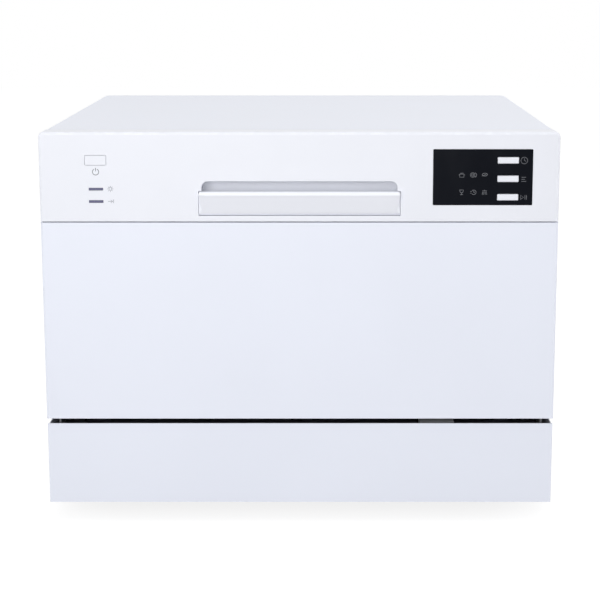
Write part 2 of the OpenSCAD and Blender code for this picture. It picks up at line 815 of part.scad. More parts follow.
// Two eyes on the left rim in which the cup shelf turns
shelf_wires = 9;
shelf_wire_y = spread(shelf_y[0] + 4, shelf_y[1] - 4, shelf_wires);
shelf_eye_y = [(shelf_wire_y[0] + shelf_wire_y[1]) / 2,
               (shelf_wire_y[shelf_wires - 1] + shelf_wire_y[shelf_wires - 2]) / 2];
module shelf_eye(y) {
    difference() {
        union() {
            block([-rack_half - 2, -rack_half + 3], [y - 4, y + 4], [rim_z - 20, shelf_z + 5]);
            block([-rack_half - 2, shelf_x + 4], [y - 4, y + 4], [shelf_z - 5, shelf_z + 5]);
        }
        rod_y(shelf_x, [y - 5, y + 5], shelf_z, wire_r + fit);
    }
}
module dish_rack() {
    color("whitesmoke") {
        rack_floor_wires();
        rack_uprights();
        wire_loop(rim_z, rim_r);
        wire_loop(rack_floor + rack_h * 0.5, wire_r);
        rack_tines();
        for (y = shelf_eye_y) shelf_eye(y);
    }
}

module rack_wheels(y) {
    color("lightgray") both_sides() difference() {
        union() {
            rod_x(wheel_x, y, axle_z, wheel_r);
            rod_x([wheel_x[0] - 1.5, wheel_x[0]], y, axle_z, axle_r + 3);
        }
        rod_x([wheel_x[0] - 2, wheel_x[1] + 1], y, axle_z, axle_r + run);
    }
}
module rack_wheels_front() {
    rack_wheels(axle_y[0]);
}
module rack_wheels_rear() {
    rack_wheels(axle_y[1]);
}

module cup_shelf() {
    color("whitesmoke") {
        rod_y(shelf_x, shelf_y, shelf_z, wire_r);
        wire_y(shelf_x + shelf_w, shelf_y, shelf_z);
        wire_y(shelf_x + shelf_w / 2, shelf_y, shelf_z - wire_r * 0.9);
        for (y = shelf_wire_y)
            wire_x([shelf_x, shelf_x + shelf_w], y, shelf_z);
    }
}

module cutlery_basket() {
    x = cutlery_x;
    y = cutlery_y;
    cell = (cutlery_l - cutlery_wall) / cutlery_cells;
    top = cutlery_z + cutlery_h;
    slot_bottom = cutlery_z + 12;
    slots = 5;
    color("lightgray") difference() {
        union() {
            difference() {
                block(x, y, [cutlery_z, top]);
                for (i = [0:cutlery_cells - 1])
                    block([x[0] + cutlery_wall, x[1] - cutlery_wall],
                          [y[0] + cutlery_wall + i * cell, y[0] + (i + 1) * cell],
                          [cutlery_z + cutlery_wall, top + 1]);
            }
            for (s = [y[0] + cell, y[0] + cell * (cutlery_cells - 1)]) // posts of the grip
                block([(x[0] + x[1]) / 2 - 4, (x[0] + x[1]) / 2 + 4], [s, s + cutlery_wall],
                      [top - 1, top + 22]);
            block([(x[0] + x[1]) / 2 - 5, (x[0] + x[1]) / 2 + 5],
                  [y[0] + cell - 6, y[0] + cell * (cutlery_cells - 1) + cutlery_wall + 6],
                  [top + 22, top + 27]);
        }
        for (i = [0:cutlery_cells - 1], j = [0:slots - 1]) // tall slots in the long sides
            block([x[0] - 1, x[1] + 1],
                  [y[0] + i * cell + 8 + j * 12.5, y[0] + i * cell + 14 + j * 12.5],
                  [slot_bottom, top - 16]);
    }
}

// ---------- Hinges ----------

module bracket_plate() {
    translate([hinge_y, hinge_z]) circle(lug_r);
    translate([hinge_y, hinge_z - 6]) square([tub_front_y - hinge_y, 6 + lug_r]);
    translate([tub_front_y, tray_z + 60]) square([92, notch_z + 30 - tray_z - 60]);
}
module hinge_brackets() {
    color("silver") both_sides() difference() {
        union() {
            along_x(bracket_x) bracket_plate();
            block([spring_x - 4, bracket_x[0]], [spring_end_y - 26, spring_end_y - 23.5],
                  [hinge_z + spring_up - 7, hinge_z + spring_up + 7]); // spring anchor
        }
        rod_x([bracket_x[0] - 1, bracket_x[1] + 1], hinge_y, hinge_z, hinge_pin_r);
        rod_y(spring_x, [spring_end_y - 27, spring_end_y - 22], hinge_z + spring_up, spring_wire_r + fit);
    }
}

module hinge_pins() {
    color("dimgray") both_sides() {
        rod_x([arm_x[0] - 1.5, bracket_x[1]], hinge_y, hinge_z, hinge_pin_r);
        rod_x([bracket_x[1], bracket_x[1] + 2], hinge_y, hinge_z, hinge_pin_r + 2);
        rod_x([arm_x[1] + fit, bracket_x[0]], hinge_y, hinge_z, hinge_pin_r + 1.5);
    }
}

module hinge_arms() {
    top = hinge_z + 95;
    color("silver") both_sides() difference() {
        along_x(arm_x) {
            translate([hinge_y, hinge_z]) circle(lug_r);
            translate([hinge_y - lug_r, hinge_z]) square([y_door_back - hinge_y + lug_r, top - hinge_z]);
        }
        rod_x([arm_x[0] - 1, arm_x[1] + 1], hinge_y, hinge_z, hinge_pin_r + run);
        rod_x([arm_x[0] - 1, arm_x[1] + 1], hinge_y + spring_back, hinge_z + spring_up,
              spring_wire_r + 0.5);
    }
}

module door_springs() {
    hook_y = hinge_y + spring_back;
    z = hinge_z + spring_up;
    coil = [y_case + 14, spring_end_y - 40];
    color("gray") both_sides() {
        rod_x([spring_x, arm_x[1] + 1], hook_y, z, spring_wire_r);
        translate([spring_x, hook_y, z]) sphere(spring_wire_r);
        rod_y(spring_x, [hook_y, coil[0]], z, spring_wire_r);
        rod_y(spring_x, coil, z, spring_r);
        rod_y(spring_x, [coil[1], spring_end_y - 20], z, spring_wire_r);
        rod_y(spring_x, [spring_end_y - 22, spring_end_y - 20], z, spring_wire_r + 1);
    }
}

// ---------- Door ----------

module door_skin() {
    side_back = y_door_back;
    low_back = y_front + 12;
    color("white") difference() {
        union() {
            block([-half_w, half_w], [y_front, y_front + sheet_t], [skin_bottom, skin_top]);
            both_sides() along_x([inner_half, half_w]) polygon([
                [y_front, skin_bottom], [low_back, skin_bottom], [side_back, hinge_z + 8],
                [side_back, skin_top], [y_front, skin_top]
            ]);
            block([-half_w, half_w], [y_front, y_front + 13], [skin_top - sheet_t, skin_top]);
            block([-notch_half - 3, notch_half + 3], [y_front, low_back],
                  [skin_bottom, skin_bottom + sheet_t]);
            both_sides() block([arm_x[1], inner_half], [side_back - sheet_t, side_back],
                               [notch_z, skin_top]);
        }
        door_screw_holes();
    }
}

module control_cut(x, z, w, h, r) {
    face_slab([x - w / 2, x + w / 2], [y_front - 1, y_front + wall_t + 1], [z - h / 2, z + h / 2], r);
}
boss_r = 4.5;
board_posts = [
    [window_x[0] - 8, window_z[0] - 2], [window_x[1] + 8, window_z[0] - 2],
    [window_x[0] - 8, window_z[1] + 2], [window_x[1] + 8, window_z[1] + 2],
    [power_x - 24, power_z - 22], [power_x + 24, power_z - 22]
];
module fascia_shell() {
    difference() {
        along_y([y_front, y_door_back]) arch(half_w, fascia_bottom, body_h, 6);
        along_y([y_front + wall_t, y_door_back + 1])
            arch(half_w - wall_t, fascia_bottom + wall_t, body_h - wall_t, 6 - wall_t);
    }
}
module fascia_pocket() {
    block([-slot_w / 2 - flare - pocket_t, slot_w / 2 + flare + pocket_t],
          [y_front, y_front + pocket_depth + pocket_t],
          [pocket_bottom - pocket_t, slot_top + pocket_t]);
}
module fascia() {
    color("white") difference() {
        union() {
            fascia_shell();
            fascia_pocket();
            for (p = door_screws_at()) if (p[1] > fascia_bottom)
                rod_y(p[0], [y_front + wall_t - 0.5, y_door_back], p[1], boss_r);
            for (p = board_posts) rod_y(p[0], [y_front + wall_t - 0.5, board_y], p[1], 3);
        }
        // The opening for the fingers and the handle, wider below the slot
        face_slab([-slot_w / 2, slot_w / 2], [y_front - 1, y_front + pocket_depth],
                  [pocket_bottom, slot_top], 7);
        block([-slot_w / 2 - flare, slot_w / 2 + flare], [y_front - 1, y_front + pocket_depth],
              [pocket_bottom, pocket_bottom + handle_h]);
        rod_x([-slot_w / 2 - flare - pocket_t - 1, slot_w / 2 + flare + pocket_t + 1],
              handle_axis_y, handle_axis_z, pin_r + run);
        block([-4, 4], [y_front + pocket_depth - 1, y_door_back],
              [handle_arm_top - 4.5, handle_arm_top + 3]); // way for the handle's arm
        face_slab(window_x, [y_front - 1, y_front + window_t], window_z, 1);
        for (z = button_z) control_cut(button_x, z, button_w, button_h, 1.2);
        block(screen_x, [y_front - 1, y_front + wall_t + 1], screen_z);
        control_cut(power_x, power_z, button_w, power_h, 1.2);
        for (z = lamp_z) control_cut(lamp_x, z, lamp_w, lamp_h, 0.4);
        door_screw_holes();
    }
}

module control_window() {
    edge = 0.15;
    color("black") difference() {
        face_slab([window_x[0] + edge, window_x[1] - edge], [y_front, y_front + window_t],
                  [window_z[0] + edge, window_z[1] - edge], 1);
        for (z = button_z) control_cut(button_x, z, button_w, button_h, 1.2);
    }
}

module display_boards() {
    color("seagreen") {
        block([window_x[0] - 13, window_x[1] + 13], [board_y, board_y + board_t],
              [window_z[0] - 7, window_z[1] + 7]);
        for (z = button_z) tact_switch(button_x, z);
        block([screen_x[0] + 1, screen_x[1] - 1], [y_front + wall_t, board_y],
              [screen_z[0] + 1, screen_z[1] - 1]); // display module
        block([power_x - 30, power_x + 30], [board_y, board_y + board_t],
              [lamp_z[1] - 6, power_z + 8]);
        tact_switch(power_x, power_z);
    }
}
stem_end = y_front + 6;
module tact_switch(x, z) {
    block([x - 3, x + 3], [stem_end + button_travel + fit, board_y], [z - 3, z + 3]);
}

module lamp_lenses() {
    color("slategray") for (z = lamp_z)
        face_slab([lamp_x - lamp_w / 2 + 0.1, lamp_x + lamp_w / 2 - 0.1], [y_front, y_front + wall_t],
                  [z - lamp_h / 2 + 0.1, z + lamp_h / 2 - 0.1], 0.4);
}

// A push button: the cap, the rim that keeps it in, and the stem
module button(x, z, h, proud) {
    gap = 0.35;
    rim = 1.2;
    back = y_front + wall_t + fit;
    color("whitesmoke") {
        face_slab([x - button_w / 2 + gap, x + button_w / 2 - gap], [y_front - proud, back + 1],
                  [z - h / 2 + gap, z + h / 2 - gap], 1);
        block([x - button_w / 2 - rim, x + button_w / 2 + rim], [back, back + 1],
              [z - h / 2 - rim, z + h / 2 + rim]);
        block([x - 2, x + 2], [back + 1, stem_end], [z - 2, z + 2]);
    }
}
module button_power() {
    button(power_x, power_z, power_h, 0.3);
}
module button_delay() {
    button(button_x, button_z[0], button_h, 1);
}
module button_program() {
    button(button_x, button_z[1], button_h, 1);
}
module button_start() {
    button(button_x, button_z[2], button_h, 1);
}

// The handle: a lip that leans out of the fascia at its top. It turns on a stub at each end, near its
// foot, and its arm reaches back through the pocket to lift the link.
module handle_profile() {
    foot = pocket_bottom + 0.6;
    top = pocket_bottom + handle_h;
    lip_r = 3.4;
    polygon([
        [y_front, foot + 3], [y_front - handle_proud, top - lip_r], [y_front - handle_proud + lip_r, top],
        [y_front - handle_proud + 2 * lip_r, top - lip_r], [handle_axis_y + 4, handle_axis_z + 4],
        [handle_axis_y + 4, foot], [y_front + 2.5, foot]
    ]);
    translate([y_front - handle_proud + lip_r, top - lip_r]) circle(lip_r);
}
handle_arm_top = handle_axis_z + 1.5;
module door_handle() {
    end = slot_w / 2 + flare - fit;
    color("white") {
        difference() {
            along_x([-end, end]) handle_profile();
            both_sides() // drafted ends
                translate([end, y_front - handle_proud - 1, 0]) rotate([0, 0, 24])
                    block([0, 20], [-5, 8], [pocket_bottom - 1, slot_top]);
        }
        rod_x([-end - pocket_t, end + pocket_t], handle_axis_y, handle_axis_z, pin_r);
        block([-3, 3], [handle_axis_y, link_y[1] + 0.5], [handle_arm_top - 3.5, handle_arm_top]);
    }
}

// A sliding link: the handle's arm lifts it, and it lifts the latch hook
module latch_link() {
    z = [handle_arm_top + 0.5, latch_z - 3.4];
    color("gray") {
        block([-3, 3], link_y, z);
        for (t = [0.35, 0.65])
            block([-6, 6], link_y, [z[0] + t * (z[1] - z[0]) - 2, z[0] + t * (z[1] - z[0]) + 2]);
    }
}

// The hook with the tail that balances it about its pivot
latch_tail = 12.5;
module latch_hook() {
    end_y = striker_y + striker_r + 4;
    nose_z = striker_z + striker_r + fit;
    color("dimgray") {
        block([-3, 3], [latch_y - latch_tail, latch_y - 5], [latch_z - 14, latch_z + 4]);
        along_x([-3, 3]) polygon([
            [latch_y - 7, latch_z - 3], [link_y[1] + 0.5, latch_z - 3], [link_y[1] + 1.2, latch_z + 1.5],
            [striker_y + striker_r + 0.5, latch_z + 1.5], [striker_y + striker_r + 0.5, nose_z],
            [end_y, nose_z + 1], [end_y, latch_z + 4], [latch_y - 3, latch_z + 3],
            [latch_y - 7, latch_z]
        ]);
        rod_x([-9, 9], latch_y, latch_z, pin_r);
    }
}

module latch_case() {
    top = body_h - wall_t - fit;
    bottom = latch_z - 9;
    color("dimgray") difference() {
        block([-12, 12], [latch_y - latch_tail - 1.8, y_door_back - fit], [bottom, top]);
        block([-3.4, 3.4], [latch_y - latch_tail - 0.9, y_door_back], [bottom - 1, top + 1]);
        rod_x([-13, 13], latch_y, latch_z, pin_r + run);
    }
}

module striker() {
    floor = tub_top + tub_t + fit;
    color("silver") {
        both_sides() block([11, 13], [tub_front_y, tub_front_y + 16], [floor, latch_z + 4]);
        rod_x([-11, 11], striker_y, striker_z, striker_r);
    }
}

// Places of the screws on the door's inside, as X and Z
function door_screws_at() = [
    for (s = [-1, 1], z = [notch_z + 14, (notch_z + skin_top) / 2 + 8, skin_top - 12,
                           fascia_bottom + 9, body_h - 12])
        [s * (inner_half - 7), z]
];
module door_screw_holes() {
    for (p = door_screws_at()) rod_y(p[0], [y_door_back - 12, y_door_back + 3], p[1], screw_r);
}
module door_screws() {
    color("silver") for (p = door_screws_at()) {
        rod_y(p[0], [y_door_back + liner_t, y_door_back + liner_t + 0.9], p[1], head_r - 0.5);
        rod_y(p[0], [y_door_back - 9, y_door_back + liner_t], p[1], screw_r);
    }
}

module door_liner() {
    back = [y_door_back, y_door_back + liner_t];
    color("silver") difference() {
        union() {
            along_y(back) {
                translate([-inner_half, notch_z]) square([2 * inner_half, liner_top - notch_z]);
                translate([-notch_half, liner_bottom]) square([2 * notch_half, notch_z - liner_bottom + 1]);
            }
            face_slab([-plug_half, plug_half], [y_door_back, plug_y], [plug_bottom, plug_top], 14);
        }
        face_slab([-plug_half + liner_t, plug_half - liner_t], [y_door_back - 1, plug_y - liner_t],
                  [plug_bottom + liner_t, plug_top - liner_t], 14 - liner_t);
        block(dispenser_x, [y_door_back, plug_y + 1], dispenser_z);
        block([-6, 6], [y_door_back - 1, plug_y + 1], [latch_z - 5, liner_top + 1]);
        door_screw_holes();
    }
}

module dispenser_body() {
    back = dispenser_face - dispenser_depth;
    lip = 5;
    guide = 2;
    color("gray") difference() {
        union() {
            block([dispenser_x[0] + fit, dispenser_x[1] - fit], [back, dispenser_face],
                  [dispenser_z[0] + fit, dispenser_z[1] - fit]);
            block([dispenser_x[0] - lip, dispenser_x[1] + lip], [plug_y, dispenser_face],
                  [dispenser_z[0] - lip, dispenser_z[1] + lip]);
            for (x = [cup_x[0] - 4 - guide, cup_x[1] + 4]) // guides beside the lid
                block([x, x + guide], [dispenser_face, dispenser_face + 3],
                      [dispenser_z[0] + 4, dispenser_z[1] - 2]);
        }
        block(cup_x, [dispenser_face - 19, dispenser_face + 1], cup_z);
        rod_y(cap_x, [dispenser_face - 14, dispenser_face + 1], cap_z, cap_r + run);
    }
}

module detergent_lid() {
    z = [cup_z[0] - 3, cup_z[1] + 3];
    color("gray") {
        block([cup_x[0] - 4 + fit, cup_x[1] + 4 - fit],
              [dispenser_face + fit, dispenser_face + 2.5], z);
        block([cup_x[0] + 6, cup_x[1] - 6], [dispenser_face + 2.5, dispenser_face + 5],
              [z[1] - 10, z[1] - 5]); // thumb ridge
    }
}

module rinse_cap() {
    color("lightgray") difference() {
        union() {
            rod_y(cap_x, [dispenser_face - 13, dispenser_face + 2], cap_z, cap_r);
            block([cap_x - 13, cap_x + 13], [dispenser_face + 2, dispenser_face + 7],
                  [cap_z - 2.5, cap_z + 2.5]);
        }
        rod_y(cap_x, [dispenser_face - 14, dispenser_face - 2], cap_z, cap_r - 3);
    }
}

// White channel on the base that leads the door's cable, seen through the gap above the kick plate
module cable_guide() {
    x = [150 - 18.8, 150 + 18.8];
    y = [tray_front + fit, tray_front + 42];
    z = [ledge_z, sweep_z - 1.2];
    color("white") difference() {
        block(x, y, z);
        block([x[0] + 3, x[1] - 3], [y[0] + 10, y[1] + 1], [z[0] - 1, z[1] - 3]);
    }
}

cabinet_wrap();
back_panel();
base_tray();
kick_plate();
feet();
tub_frame();
tub_wrap();
tub_back();
tub_floor();
door_gasket();
rack_rails();
sump();
filter_plate();
coarse_filter();
spray_post();
spray_arm();
pump_volute();
pump_motor();
pump_impeller();
delivery_pipe();
flow_heater();
drain_pump();
drain_hose();
inlet_valve();
inlet_hose();
air_brake();
control_box();
cord_gland();
float_cup();
striker();
hinge_brackets();
hinge_pins();
door_springs();
cabinet_screws();
door_skin();
fascia();
control_window();
display_boards();
lamp_lenses();
button_power();
button_delay();
button_program();
button_start();
door_handle();
latch_link();
latch_hook();
latch_case();
door_liner();
hinge_arms();
dispenser_body();
detergent_lid();
rinse_cap();
cable_guide();
door_screws();
dish_rack();
wheel_carriers();
rack_wheels_front();
rack_wheels_rear();
cup_shelf();
cutlery_basket();
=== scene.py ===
"""Looks of a countertop dishwasher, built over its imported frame.

Every piece is modelled in the frame's own axes: the origin is the centre of the footprint on the
counter, +Z is up and the door faces -Y. Sizes are written in millimetres and become metres when a
mesh is closed. Each sub-assembly is a class that makes its pieces, dresses them and fixes them to
the moving bodies.
"""

from __future__ import annotations

import json
import logging
from dataclasses import dataclass, field
from enum import Enum
from math import cos, hypot, pi, radians, sin
from typing import Callable, ClassVar, Iterable, Mapping, Sequence

import bmesh
import bpy
from mathutils import Matrix, Vector

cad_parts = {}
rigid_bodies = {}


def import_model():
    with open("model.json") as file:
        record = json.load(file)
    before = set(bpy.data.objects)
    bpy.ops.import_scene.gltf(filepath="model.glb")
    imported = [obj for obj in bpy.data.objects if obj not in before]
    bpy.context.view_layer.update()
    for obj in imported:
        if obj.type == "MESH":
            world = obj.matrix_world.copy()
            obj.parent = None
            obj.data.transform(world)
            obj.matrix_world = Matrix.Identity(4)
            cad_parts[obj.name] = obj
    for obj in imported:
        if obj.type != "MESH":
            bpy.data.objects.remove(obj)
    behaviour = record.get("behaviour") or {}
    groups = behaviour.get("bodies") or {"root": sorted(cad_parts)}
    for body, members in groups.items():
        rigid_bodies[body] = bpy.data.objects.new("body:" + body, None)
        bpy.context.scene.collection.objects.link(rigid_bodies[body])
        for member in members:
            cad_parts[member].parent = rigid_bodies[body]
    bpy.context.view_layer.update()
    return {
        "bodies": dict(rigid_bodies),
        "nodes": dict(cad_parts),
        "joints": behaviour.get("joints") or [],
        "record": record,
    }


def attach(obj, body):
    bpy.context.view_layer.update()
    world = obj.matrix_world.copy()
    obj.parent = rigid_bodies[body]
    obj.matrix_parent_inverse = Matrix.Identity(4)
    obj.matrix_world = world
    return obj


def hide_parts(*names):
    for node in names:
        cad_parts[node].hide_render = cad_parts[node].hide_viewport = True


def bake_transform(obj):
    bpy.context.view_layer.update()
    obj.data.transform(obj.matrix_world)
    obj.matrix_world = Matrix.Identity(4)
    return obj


MM = 0.001
HALF_WIDTH = 275.0  # of the cabinet and the door
CRISP, FIRM, GENTLE = 30.0, 40.0, 50.0  # degrees past which a piece's edges stay sharp
ANY_TURN = 6.28  # the most that a copied piece turns by chance, in radians
DOUBLE = 1e-6  # metres within which two corners are one
LOG = logging.getLogger("dishwasher")

Point = Sequence[float]
Span = tuple[float, float]
Path = list[Point]
Colour = tuple[float, float, float]
Piece = bpy.types.Object
Material = bpy.types.Material
Mesh = bpy.types.Mesh
Wave = Callable[[float, float], float]
Key = str | int


class Body(Enum):
    """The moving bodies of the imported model."""

    CABINET = "cabinet"
    DOOR = "door"
    HANDLE = "handle"
    LATCH = "latch"
    LATCH_LINK = "latch_link"
    POWER_BUTTON = "power_button"
    DELAY_BUTTON = "delay_button"
    PROGRAM_BUTTON = "program_button"
    START_BUTTON = "start_button"
    DETERGENT_LID = "detergent_lid"
    RINSE_CAP = "rinse_cap"
    RACK = "rack"
    FRONT_WHEELS = "front_wheels"
    REAR_WHEELS = "rear_wheels"
    CUP_SHELF = "cup_shelf"
    CUTLERY_BASKET = "cutlery_basket"
    SPRAY_ARM = "spray_arm"
    FILTER = "filter"
    IMPELLER = "impeller"
    FLOAT = "float"


class Axis(Enum):
    """An axis of the frame, with the order in which a drawing's two values and its depth are laid."""

    X = 0
    Y = 1
    Z = 2

    def lay(self, a: float, b: float, depth: float) -> Vector:
        """Puts a drawing's point in space.

        Args:
            a: First value of the drawing: Y for X, X for Y and Z.
            b: Second value of the drawing: Z for X and Y, Y for Z.
            depth: Place along the axis.

        Returns:
            The point in millimetres.
        """
        point = [a, b]
        point.insert(self.value, depth)
        return Vector(point)


# ---- node trees as expressions


class Wire:
    """One output of a node, with Python's arithmetic written as nodes."""

    def __init__(self, graph: Graph, socket: bpy.types.NodeSocket) -> None:
        """Keeps the tree and the socket."""
        self.graph = graph
        self.socket = socket

    def out(self, name: Key) -> Wire:
        """Another output of the same node."""
        return Wire(self.graph, self.socket.node.outputs[name])

    def __add__(self, other: Value) -> Wire:
        """self + other."""
        return self.graph.maths("ADD", self, other)

    __radd__ = __add__

    def __sub__(self, other: Value) -> Wire:
        """self - other."""
        return self.graph.maths("SUBTRACT", self, other)

    def __rsub__(self, other: Value) -> Wire:
        """other - self."""
        return self.graph.maths("SUBTRACT", other, self)

    def __mul__(self, other: Value) -> Wire:
        """self * other."""
        return self.graph.maths("MULTIPLY", self, other)

    __rmul__ = __mul__

    def __truediv__(self, other: Value) -> Wire:
        """self / other."""
        return self.graph.maths("DIVIDE", self, other)

    def __rtruediv__(self, other: Value) -> Wire:
        """other / self."""
        return self.graph.maths("DIVIDE", other, self)


Value = Wire | float | int | Sequence[float] | str


class Graph:
    """A node tree that is written as expressions."""

    def __init__(self, tree: bpy.types.NodeTree) -> None:
        """Keeps the tree."""
        self.tree = tree

    def feed(self, socket: bpy.types.NodeSocket, value: object) -> None:
        """Links a wire to a socket, or sets the socket's own value.

        Args:
            socket: The input.
            value: A wire, a colour of three values, or anything that the socket holds.
        """
        if isinstance(value, Wire):
            self.tree.links.new(value.socket, socket)
        elif socket.type == "RGBA" and isinstance(value, (tuple, list)) and len(value) == 3:
            socket.default_value = (*value, 1.0)
        else:
            socket.default_value = value

    def add(
        self,
        kind: str,
        settings: Mapping[str, object] | None = None,
        inputs: Mapping[Key, object] | None = None,
        output: Key = 0,
    ) -> Wire:
        """Adds any node.

        Args:
            kind: Blender's name of the node type.
            settings: Properties that are set first.
            inputs: Values or wires by the socket's name or number.
            output: The output to return.

        Returns:
            The wire of that output.
        """
        node = self.tree.nodes.new(kind)
        for key, value in (settings or {}).items():
            setattr(node, key, value)
        for key, value in (inputs or {}).items():
            self.feed(node.inputs[key], value)
        return Wire(self, node.outputs[output])

    def maths(self, operation: str, *values: Value) -> Wire:
        """Adds a Math node, or a Vector Math node where a value is a vector.

        Args:
            operation: Blender's name of the operation.
            values: What it works on.

        Returns:
            The wire of the result.
        """
        vector = any(isinstance(v, Wire) and v.socket.type == "VECTOR" for v in values)
        kind = "ShaderNodeVectorMath" if vector else "ShaderNodeMath"
        return self.add(kind, {"operation": operation}, dict(enumerate(values)))

    def end(self, kind: str, surface: Wire) -> None:
        """Ends the tree in a new output node of that type."""
        self.tree.links.new(surface.socket, self.tree.nodes.new(kind).inputs[0])


class Shader(Graph):
    """A material round one Principled shader, with patterns on Object coordinates."""

    def __init__(self, name: str) -> None:
        """Makes an empty material with its shader and output."""
        self.material = bpy.data.materials.new(name)
        self.material.use_nodes = True
        super().__init__(self.material.node_tree)
        self.tree.nodes.clear()
        self.surface = self.tree.nodes.new("ShaderNodeBsdfPrincipled")
        self.end("ShaderNodeOutputMaterial", Wire(self, self.surface.outputs[0]))
        self.place = self.add("ShaderNodeTexCoord", output="Object")

    def stretched(self, scale: Point) -> Wire:
        """Object coordinates, scaled differently along each axis."""
        return self.add("ShaderNodeMapping", None, {"Vector": self.place, "Scale": tuple(scale)})

    def noise(self, scale: float, detail: float = 2.0, place: Wire | None = None) -> Wire:
        """Smooth noise from 0 to 1, with that many lumps to the metre."""
        return self.add(
            "ShaderNodeTexNoise",
            None,
            {"Vector": place or self.place, "Scale": scale, "Detail": detail, "Roughness": 0.55},
        )

    def cells(self, scale: float, feature: str = "F1", output: str = "Distance") -> Wire:
        """A Voronoi pattern with that many cells to the metre."""
        return self.add(
            "ShaderNodeTexVoronoi", {"feature": feature}, {"Vector": self.place, "Scale": scale}, output
        )

    def edge(self) -> Wire:
        """1 on the faces that rounding an edge has made, and 0 elsewhere."""
        return self.add("ShaderNodeAttribute", {"attribute_name": "edge"}, None, "Fac")

    def ramp(self, value: Wire, low: float, high: float, to: Span = (0.0, 1.0)) -> Wire:
        """A smooth step of a value between two levels."""
        return self.add(
            "ShaderNodeMapRange",
            {"interpolation_type": "SMOOTHSTEP"},
            {"Value": value, "From Min": low, "From Max": high, "To Min": to[0], "To Max": to[1]},
        )

    def mix(self, factor: Value, first: object, second: object) -> Wire:
        """A colour between two colours."""
        return self.add("ShaderNodeMix", {"data_type": "RGBA"}, {0: factor, 6: first, 7: second}, 2)

    def emboss(self, height: Wire, depth: float, under: Wire | None = None) -> Wire:
        """A bump, on top of another one.

        Args:
            height: The pattern.
            depth: Its height, in metres.
            under: The bump below it.

        Returns:
            The wire of the bent normal.
        """
        inputs: dict[Key, object] = {"Height": height, "Distance": depth, "Strength": 1.0}
        if under is not None:
            inputs["Normal"] = under
        return self.add("ShaderNodeBump", None, inputs)

    def set(self, **sockets: object) -> Material:
        """Feeds the shader.

        Args:
            sockets: Values or wires by the socket's name, with _ for each space in it.

        Returns:
            The finished material.
        """
        for name, value in sockets.items():
            self.feed(self.surface.inputs[name.replace("_", " ")], value)
        return self.material


# ---- finishes


@dataclass(frozen=True)
class Finish:
    """What every finish has: a name, the record's slot, a colour and a roughness."""

    name: str
    slot: str
    colour: Colour
    roughness: float

    def material(self) -> Material:
        """The finish's material, made when it is first asked for."""
        return bpy.data.materials.get(self.name) or self.build(Shader(self.name))

    def tone(self, factor: float) -> Colour:
        """The finish's colour, lighter or darker by a factor."""
        return tuple(min(1.0, c * factor) for c in self.colour)

    def build(self, s: Shader) -> Material:
        """Writes the shader."""
        raise NotImplementedError


@dataclass(frozen=True)
class PaintedSteel(Finish):
    """Baked enamel: orange peel of a few millimetres and a slow drift in gloss."""

    peel: float = 1e-5

    def build(self, s: Shader) -> Material:
        """Writes the shader."""
        drift, peel, dust = s.noise(7, 2), s.noise(380, 2), s.noise(2300, 1)
        tint = s.mix(s.ramp(drift, 0.3, 0.7), self.tone(0.988), self.colour)
        worn = s.mix(s.edge() * s.ramp(s.noise(60, 3), 0.55, 0.75) * 0.35, tint, self.tone(0.9))
        return s.set(
            Base_Color=worn,
            Roughness=self.roughness + (drift - 0.5) * 0.08 + (dust - 0.5) * 0.05,
            Normal=s.emboss(dust, 4e-6, s.emboss(peel, self.peel)),
            Specular_IOR_Level=0.45,
        )


@dataclass(frozen=True)
class MouldedPlastic(Finish):
    """Injection-moulded plastic with a fine eroded grain and faint flow marks."""

    grain: float = 1500.0
    depth: float = 1.5e-5
    specular: float = 0.45
    flow_marks: float = 0.022

    def build(self, s: Shader) -> Material:
        """Writes the shader."""
        grain, flow, speck = s.noise(self.grain, 2), s.noise(14, 3), s.cells(self.grain * 0.7)
        marks = (self.tone(1 - self.flow_marks), self.tone(1 + self.flow_marks))
        tint = s.mix(s.ramp(flow, 0.35, 0.65), *marks)
        rubbed = s.mix(s.edge() * s.ramp(s.noise(90, 2), 0.4, 0.7) * 0.4, tint, self.tone(1.12))
        return s.set(
            Base_Color=rubbed,
            Roughness=self.roughness + (grain - 0.5) * 0.12 - s.edge() * 0.06,
            Normal=s.emboss(grain + speck * 0.6, self.depth),
            Specular_IOR_Level=self.specular,
        )


@dataclass(frozen=True)
class BrushedSteel(Finish):
    """Stainless steel with its brushing along one axis and a little water haze."""

    along: Axis = Axis.Y

    def build(self, s: Shader) -> Material:
        """Writes the shader."""
        scale = [1500.0, 1500.0, 1500.0]
        scale[self.along.value] = 14.0
        lines = s.noise(1.0, 3, s.stretched(scale))
        broad = s.noise(1.0, 2, s.stretched([v * 0.22 for v in scale]))
        haze = s.ramp(s.noise(9, 4), 0.45, 0.7)
        tint = s.mix(lines, self.tone(0.93), self.tone(1.05))
        return s.set(
            Base_Color=s.mix(s.edge() * 0.4, tint, self.tone(1.25)),
            Metallic=1.0,
            Roughness=self.roughness + (lines - 0.5) * 0.14 + (broad - 0.5) * 0.05 + haze * 0.06,
            Normal=s.emboss(lines * 0.85 + broad * 0.15, 7e-6),
        )


@dataclass(frozen=True)
class ZincSheet(Finish):
    """Zinc-coated sheet with its spangle."""

    spangle: float = 190.0

    def build(self, s: Shader) -> Material:
        """Writes the shader."""
        flake = s.add("ShaderNodeSeparateColor", None, {0: s.cells(self.spangle, "F1", "Color")})
        border = s.ramp(s.cells(self.spangle, "DISTANCE_TO_EDGE"), 0.0, 0.06)
        cloud = s.noise(30, 4)
        tint = s.mix(flake, self.tone(0.92), self.tone(1.07))
        return s.set(
            Base_Color=s.mix(border, self.tone(0.95), tint),
            Metallic=0.85,
            Roughness=self.roughness + (flake - 0.5) * 0.08 + (cloud - 0.5) * 0.1,
            Normal=s.emboss(flake, 4e-6, s.emboss(border, 3e-6)),
        )


